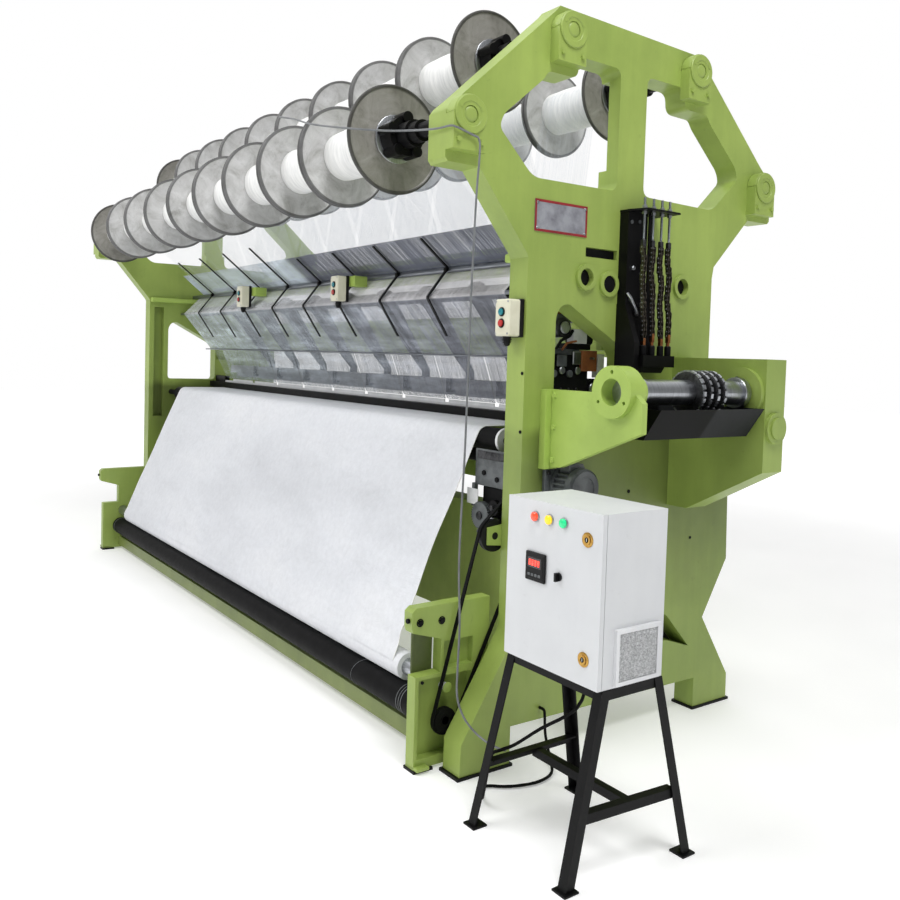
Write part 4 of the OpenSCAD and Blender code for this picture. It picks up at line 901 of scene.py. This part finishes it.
b = Build("hanging_chains")
for q, y in enumerate((-12, 42, 94, 142)):
    x = XR + 95
    o = M(x, y, 0)
    prof = []
    z = 2.120
    while z < 2.2985:
        prof += [(0.0058, z), (0.0048, z + 0.0015)]
        z += 0.003
    b.lathe(prof, o, 'Z', STEEL_X, 12)
    b.lathe([(0.0125, 2.2504), (0.0125, 2.2600)], o, 'Z', STEEL, 6)
    b.lathe([(0.0105, 2.2604), (0.0105, 2.2670)], o, 'Z', STEEL, 6)
    b.lathe([(0.0105, 2.2300), (0.0105, 2.2410)], o, 'Z', STEEL, 6)
    b.cbox(M(x - 9, y - 9, 2098), M(x + 9, y + 9, 2126), DARKST, 0.002)
    top = 2.094; n = 20 - (q % 2)
    for i in range(n):
        sway = 0.0011 * i + 0.0035 * math.sin(0.55 * i + 1.7 * q) + rng.uniform(-0.0012, 0.0012)
        chain_link(b, Vector((o[0] + 0.003 * math.sin(0.8 * i + q), o[1] + sway, top - 0.019 * i)), i % 2 == 0)
    zb = top - 0.019 * n
    o = o + Vector((0, 0.0011 * n, 0))
    b.cbox(Vector((o[0] - 0.010, o[1] - 0.007, zb - 0.030)), Vector((o[0] + 0.010, o[1] + 0.007, zb + 0.006)), COPPER, 0.002)
    b.rod(o, 'Z', 0.0078, 1.6700, zb - 0.028, COPPER if q % 2 else STEEL_X, 14)
    b.lathe([(0.0135, 1.6484), (0.0140, 1.6500), (0.0140, 1.6860), (0.0110, 1.6900)], o, 'Z', BLACKM, 18)
b.make("machine", "dark_steel", ("pattern_chains",))

# ------------------------------------------------------------------ trim on the arches and end frames
b = Build("bearing_covers")
for sx in (1, -1):
    for y, z in ((-885, 2487), (-402, 2898), (358, 2898), (855, 2458)):
        c = M(sx * (XR + 50), y, z)
        b.lathe([(r, sx * a) for r, a in ((0.001, 0.006), (0.020, 0.006), (0.027, 0.003), (0.0305, -0.001), (0.0305, -0.004))], c, 'X', GREEN, 40)
        b.lathe([(r, sx * a) for r, a in ((0.031, 0.0), (0.069, 0.0), (0.070, 0.002), (0.070, 0.005), (0.067, 0.008), (0.046, 0.008), (0.043, 0.005), (0.031, 0.005))], c, 'X', GREEN, 56, closed=True)
b.make("machine", "green_paint")

b = Build("frame_plugs")
for sx in (1, -1):
    for y, z in ((-245, 1956), (343, 1958)):
        c = M(sx * XR, y, z)
        b.lathe([(r, sx * a) for r, a in ((0.001, -0.010), (0.020, -0.010), (0.022, -0.013), (0.0355, -0.013), (0.0355, -0.030), (0.001, -0.030))], c, 'X', BLACKM, 40)
    xa, xb = sorted((sx * (XR - 59), sx * (XR - 20)))
    b.cbox(M(xa, -245.5, 2041.5), M(xb, -64.5, 2079.5), BLACKM, 0.001)
    # ledge under the front rail
    xa, xb = sorted((sx * (XI - 46), sx * XI))
    b.cbox(M(xa, -545, 2000), M(xb, -168, 2036), GREEN_L, 0.006)
    # drive housing behind the low opening, near-black as painted shade in the opening
    xa, xb = sorted((sx * (XI - 140), sx * (XI - 26)))
    b.cbox(M(xa, -184, 270), M(xb, 434, 610), BLACKM, 0.006)
    b.cbox(M(xa, 434, 270), M(xb, 560, 494), BLACKM, 0.006)
    c = M(sx * (XI - 25), 352, 318)
    b.lathe([(r, sx * a) for r, a in ((0.001, 0.004), (0.012, 0.004), (0.014, 0.001), (0.040, 0.001), (0.046, -0.001), (0.001, -0.001))], c, 'X', GREYP, 36)
b.make("machine", "black_paint")

b = Build("cover_bolts")
for z in (1478, 1352, 1222):
    b.rod(M(XR + 50, -432, z), 'Y', 0.011, -0.008, 0.0, GREEN_L, 6, 0.001)
    b.rod(M(XR + 50, -432, z), 'Y', 0.015, -0.0018, 0.0, GREEN_L, 20, 0.0006)
for z in (1560, 1330, 1060):
    b.rod(M(XR - 12, -550, z), 'Y', 0.007, -0.004, 0.0, BLACKM, 12, 0.001)
for y, z in ((-20, 2010), (30, 1990), (-30, 1880), (34, 1860), (0, 1735)):
    b.rod(M(XR + 48, y, z), 'X', 0.010, 0.0, 0.009, STEEL, 6, 0.001)
for y in (-300, 60, 420):
    b.rod(M(XR, y, 1060), 'X', 0.008, 0.0, 0.004, BLACKM, 12, 0.001)
for y, z in ((480, 820), (200, 640), (-420, 640)):
    b.rod(M(XR, y, z), 'X', 0.007, 0.0, 0.003, BLACKM, 12, 0.001)
b.make("machine", "dark_steel")

# side plates and lower cheek of the chain column
b = Build("column_plates")
b.prism([(M(0, 60.2, 0)[1], 1.6485), (M(0, 60.2, 0)[1], 2.2415), (M(0, 84, 0)[1], 2.2415), (M(0, 92, 0)[1], 1.9), (M(0, 110, 0)[1], 1.6485)], 'X', M(XR + 52, 0, 0)[0], M(XR + 58, 0, 0)[0], BLACKP)
b.prism([(M(0, -20, 0)[1], 1.5998), (M(0, 120, 0)[1], 1.5998), (M(0, 100, 0)[1], 1.575), (M(0, -10, 0)[1], 1.575)], 'X', M(XR + 20, 0, 0)[0], M(XR + 120, 0, 0)[0], BLACKP)
for y, z in ((-36, 2200), (10, 2205), (44, 2120), (-30, 1700)):
    b.rod(M(XR + 48, y, z), 'X', 0.008, 0.0, 0.005, GREYP, 12, 0.001)
b.make("machine", "black_paint")

# lever on the chain column
b = Build("column_lever")
b.tube([M(XR + 54, -52, 1905), M(XR + 62, -40, 1885), M(XR + 64, -10, 1840), M(XR + 58, 2, 1822)], 0.0065, STEEL, 10)
b.rod(M(XR + 48, 2, 1822), 'X', 0.012, 0.0, 0.014, DARKST, 14)
b.make("machine", "steel")

# ------------------------------------------------------------------ drive parts seen through the frame window
b = Build("inner_linkage")
b.cbox(M(2200, -300, 1420), M(2290, -64, 1640), BLACKM, 0.006)
b.cbox(M(2180, -290, 1640), M(2290, -120, 1668), GREYP, 0.004)
b.cbox(M(2256, -118, 1572), M(2303, -26, 1662), RUST, 0.003)
b.cbox(M(2266, -22, 1545), M(2303, 18, 1648), PALE, 0.002)
b.cbox(M(2255, -168, 1690), M(2300, -86, 1752), PALE, 0.004)
b.cbox(M(2230, -200, 1664), M(2296, -60, 1690), BLACKM, 0.003)
b.rod(M(2150, -215, 1755), 'X', 0.042, 0.0, 0.14, DARKST, 32, 0.004)
b.rod(M(2150, -215, 1755), 'X', 0.026, 0.14, 0.150, STEEL, 24, 0.003)
b.rod(M(2160, -60, 1710), 'X', 0.03, 0.0, 0.12, BLACKM, 28, 0.004)
b.cbox(M(2140, -275, 1780), M(2280, -110, 1812), GREYP, 0.005)
b.cbox(M(2170, -250, 1812), M(2250, -160, 1840), RUST, 0.004)
b.cbox(M(2262, 0, 1664), M(2303, 70, 1712), GREEN_L, 0.004)
b.cbox(M(2240, -62, 1420), M(2285, 14, 1540), BLACKM, 0.004)
b.rod(M(2286, -40, 1500), 'X', 0.022, 0.0, 0.014, STEEL, 24, 0.002)
b.cbox(M(2292, -168, 1600), M(2303, -122, 1656), STEEL, 0.003)
b.cbox(M(2291, -255, 1590), M(2301, -200, 1640), GREYP, 0.003)
b.tube([M(2296, -262, 1664), M(2301, -240, 1700), M(2298, -190, 1720), M(2296, -170, 1745)], 0.007, BLACKM, 8)
b.tube([M(2296, -230, 1660), M(2300, -205, 1690), M(2298, -150, 1700)], 0.005, RUST, 8)
for i, y in enumerate((-270, -225, -180, -135)):
    b.rod(M(2290, y, 1560 + 14 * (i % 2)), 'X', 0.016, 0.0, 0.012, STEEL if i % 2 else GREYP, 20, 0.002)
    b.tube([M(2288, y, 1500), M(2296, y + 8, 1470), M(2292, y + 20, 1440)], 0.006, DARKST, 8)
b.make("machine", "dark_steel")

# ------------------------------------------------------------------ take-up drive at the near end of the rollers
b = Build("takeup_gearing")
b.cbox(M(1992, -438, 1062), M(2205, -431, 1222), GREYP, 0.003)
b.cbox(M(2010, -442, 1180), M(2190, -438, 1214), DARKST, 0.002)
b.rod(M(2060, -438, 1120), 'Y', 0.012, -0.008, 0.0, BLACKM, 6, 0.001)
b.rod(M(2150, -438, 1100), 'Y', 0.012, -0.008, 0.0, BLACKM, 6, 0.001)
b.cbox(M(1965, -458, 978), M(2042, -454, 1046), PALE, 0.001)
b.cbox(M(1992, -454, 968), M(2010, -431, 1070), GREYP, 0.002)
# panels that close the gaps beside the near frame; the black one is a dark sheet standing in for shade in the gap
# (painted shade)
b.cbox(M(1880, -200, 946), M(2318, -194, 1012), BLACKM, 0.001)
b.cbox(M(1700, -306, 190), M(2300, -300, 404), GREEN_B, 0.002)


def gear(b, c, axis, r, x0, x1, teeth, mat):
    i = 'XYZ'.index(axis); j, k = (i + 1) % 3, (i + 2) % 3
    pts = []
    for q in range(teeth * 4):
        a = 2 * math.pi * q / (teeth * 4)
        rr = r if q % 4 < 2 else r * 0.92
        pts.append((c[j] + rr * math.cos(a), c[k] + rr * math.sin(a)))
    b.prism(pts, axis, c[i] + x0, c[i] + x1, mat)


gear(b, M(2085, -452, 940), 'Y', 0.060, -0.026, 0.0, 34, GREYP)
gear(b, M(2168, -452, 905), 'Y', 0.040, -0.026, 0.0, 24, STEEL)
gear(b, M(2170, -452, 985), 'Y', 0.034, -0.020, 0.0, 20, BLACKM)
for x, z, r in ((2085, 940, 0.018), (2168, 905, 0.013), (2170, 985, 0.012)):
    b.rod(M(x, -452, z), 'Y', r, -0.034, 0.026, DARKST, 24, 0.002)
b.cbox(M(2040, -428, 870), M(2215, -420, 1060), BLACKM, 0.003)
b.cbox(M(2060, -474, 862), M(2200, -430, 876), GREYP, 0.003)
b.make("machine", "grey_paint")

b = Build("roller_end_rings")
b.lathe([(0.0202, 0.0), (0.0535, 0.0), (0.0545, 0.003), (0.0545, 0.012), (0.0535, 0.015), (0.0202, 0.015)], M(2101, -365, 1262), 'X', PALE, 48, closed=True)
b.make("takedown_upper", "rubber")

# a plate in the jaw in the shaded lime paint: painted shade
b = Build("jaw_backing")
b.cbox(M(2222, -905, 372), M(2231, -806, 560), GREEN_D, 0.003)
b.make("machine", "green_paint")

b = Build("jaw_bolts")
for sx in (1, -1):
    for y, z in ((-908, 590), (-806, 586)):
        c = M(sx * 2290, y, z)
        b.lathe([(r, sx * a) for r, a in ((0.001, 0.010), (0.009, 0.010), (0.011, 0.008), (0.011, 0.0), (0.001, 0.0))], c, 'X', BLACKM, 6)
        b.lathe([(r, sx * a) for r, a in ((0.012, 0.0), (0.016, 0.0), (0.016, 0.002), (0.012, 0.002))], c, 'X', BLACKM, 24, closed=True)
    b.rod(M(sx * 2270, -945, 598), 'Y', 0.010, -0.012, 0.0, BLACKM, 16, 0.002)
    c = M(sx * 2290, -890, 352)
    b.lathe([(r, sx * a) for r, a in ((0.001, 0.004), (0.006, 0.004), (0.007, 0.003), (0.007, -0.001), (0.001, -0.001))], c, 'X', BLACKM, 12)
    c = M(sx * 2290, -770, 311.9)
    b.lathe([(r, sx * a) for r, a in ((0.001, 0.003), (0.018, 0.003), (0.021, 0.001), (0.021, 0.0), (0.001, 0.0))], c, 'X', GREEN, 32)
    # turned-out foot
    xa, xb = sorted((sx * 2235, sx * 2318))
    b.cbox(M(xa, -922, 12), M(xb, -862, 26), GREEN, 0.003)
b.make("machine", "black_paint")

b = Build("roll_core")
for s in (-1, 1):
    xs = 2012.5 if s > 0 else -1990.5
    h = 2226 - abs(xs)
    c = M(xs, -770, 311.9)
    b.lathe([(r, s * a) for r, a in ((0.034, 0.0), (0.0366, 0.0), (0.0366, h / 1000 - 0.002), (0.035, h / 1000 + 0.0008), (0.016, h / 1000 + 0.0008))], c, 'X', STEEL, 48)
b.make("roll", "fabric")

b = Build("roller_bands")
for x, r, t in ((2052, 0.0624, 0.0016), (2070, 0.0624, 0.0012), (2086, 0.0624, 0.0018), (-2160, 0.0624, 0.003)):
    c = M(x, -795, 194)
    b.lathe([(r - 0.001, -t), (r + 0.0004, -t), (r + 0.0004, t), (r - 0.001, t)], c, 'X', GREYCABLE, 56, closed=True)
loop = []
for i in range(41):
    a = 2 * math.pi * i / 40
    loop.append(M(1700 + 26 * math.cos(a), -795 + 62.9 * math.cos(a + 0.4), 194 + 62.9 * math.sin(a + 0.4)))
b.tube(loop, 0.0009, GREYCABLE, 6)
b.make("batch", "rubber")

b = Build("pulley_hub")
c = M(2318, -795, 194)
b.lathe([(0.001, 0.002), (0.016, 0.002), (0.018, 0.0012), (0.018, -0.001), (0.001, -0.001)], c, 'X', GREYCABLE, 32)
b.make("batch", "rubber")

# ------------------------------------------------------------------ filter mat behind the louvre and lock faces
k = Mat("filter_mat")
fn = k.noise(140.0, 6.0, 0.75)
k.set(color=k.ramp(fn, [(0.36, srgb(150, 152, 154)), (0.64, srgb(226, 227, 228))]), rough=0.9, normal=k.bump(fn, 0.5, 0.003))
b = Build("vent_filter")
b.cbox(M(BX1 + 9.3, -783.6, 624.4), M(BX1 + 10.4, -612.4, 775.6), k.m, 0.0003)
for i in range(23):
    z = 628 + 6.4 * i
    b.cbox(M(BX1 + 10.3, -783.4, z), M(BX1 + 12.2, -612.6, z + 2.6), k.m, 0.0004)
for i in range(6):
    y = -772 + 29 * i
    b.cbox(M(BX1 + 10.3, y, 624.6), M(BX1 + 12.6, y + 2, 775.4), k.m, 0.0004)
b.make("machine", "ivory_plastic")
for tag, z in (("upper", 1063), ("lower", 688)):
    b = Build("lock_face_" + tag)
    c = M(XR + 696, -862, z)
    b.lathe([(0.0001, -0.0064), (0.0078, -0.0064), (0.0084, -0.0058), (0.0084, -0.0050), (0.0001, -0.0050)], c, 'Y', BLACKM, 24)
    b.cbox(M(XR + 694.8, -868.8, z - 5), M(XR + 697.2, -868.0, z + 5), PALE, 0.0002)
    b.make("lock_" + tag, "brass")

# ------------------------------------------------------------------ floor and light
bpy.ops.mesh.primitive_plane_add(size=60, location=(0, 0, 0))
floor = bpy.context.object
floor.name = "floor"
fm = Mat("pale_floor")
fm.set(color=fm.ramp(fm.noise(2.0, 3.0), [(0.3, srgb(233, 233, 233)), (0.7, srgb(238, 238, 238))]), rough=0.9, spec=0.1)
fl = fm.add("ShaderNodeVectorMath"); fl.operation = 'LENGTH'
fm.link(fm.tc.outputs["Object"], fl.inputs[0])
fe = fm.add("ShaderNodeMapRange"); fe.interpolation_type = 'SMOOTHSTEP'
fe.inputs["From Min"].default_value = 4.0; fe.inputs["From Max"].default_value = 10.0
fe.inputs["To Min"].default_value = 0.27; fe.inputs["To Max"].default_value = 0.68
fm.link(fl.outputs["Value"], fe.inputs["Value"])
fm.set(emit=(1, 1, 1, 1), emit_power=fe.outputs["Result"])
floor.data.materials.append(fm.m)

world = bpy.data.worlds.new("studio")
scene.world = world
world.use_nodes = True
bg = world.node_tree.nodes["Background"]
# an even studio dome, brighter behind the machine than in front of it
wt = world.node_tree
gc = wt.nodes.new("ShaderNodeTexCoord")
dp = wt.nodes.new("ShaderNodeVectorMath"); dp.operation = 'DOT_PRODUCT'
dp.inputs[1].default_value = (-0.81, 0.58, 0.10)
wt.links.new(gc.outputs["Generated"], dp.inputs[0])
mr = wt.nodes.new("ShaderNodeMapRange"); mr.interpolation_type = 'SMOOTHSTEP'
mr.inputs["From Min"].default_value = 0.0; mr.inputs["From Max"].default_value = 0.75
mr.inputs["To Min"].default_value = 0.27; mr.inputs["To Max"].default_value = 1.0
wt.links.new(dp.outputs["Value"], mr.inputs["Value"])
wt.links.new(mr.outputs["Result"], bg.inputs["Strength"])
bg.inputs["Color"].default_value = (1, 1, 1, 1)


def area(name, loc, target, size, power, color=(1, 1, 1)):
    ld = bpy.data.lights.new(name, 'AREA')
    ld.shape = 'RECTANGLE'; ld.size = size[0]; ld.size_y = size[1]; ld.energy = power; ld.color = color
    lo = bpy.data.objects.new(name, ld)
    scene.collection.objects.link(lo)
    lo.location = loc
    lo.rotation_euler = (Vector(target) - Vector(loc)).to_track_quat('-Z', 'Y').to_euler()


area("key", (-1.0, -5.8, 7.4), (-0.3, 0, 1.3), (6, 4), 390)
area("side", (5.2, -1.4, 7.6), (1.7, -0.2, 1.6), (2.6, 2.6), 320)
area("front_fill", (1.5, -7.5, 1.2), (0.8, 0, 0.9), (4, 1.6), 12)
scene.view_settings.view_transform = 'Standard'
scene.view_settings.look = 'None'
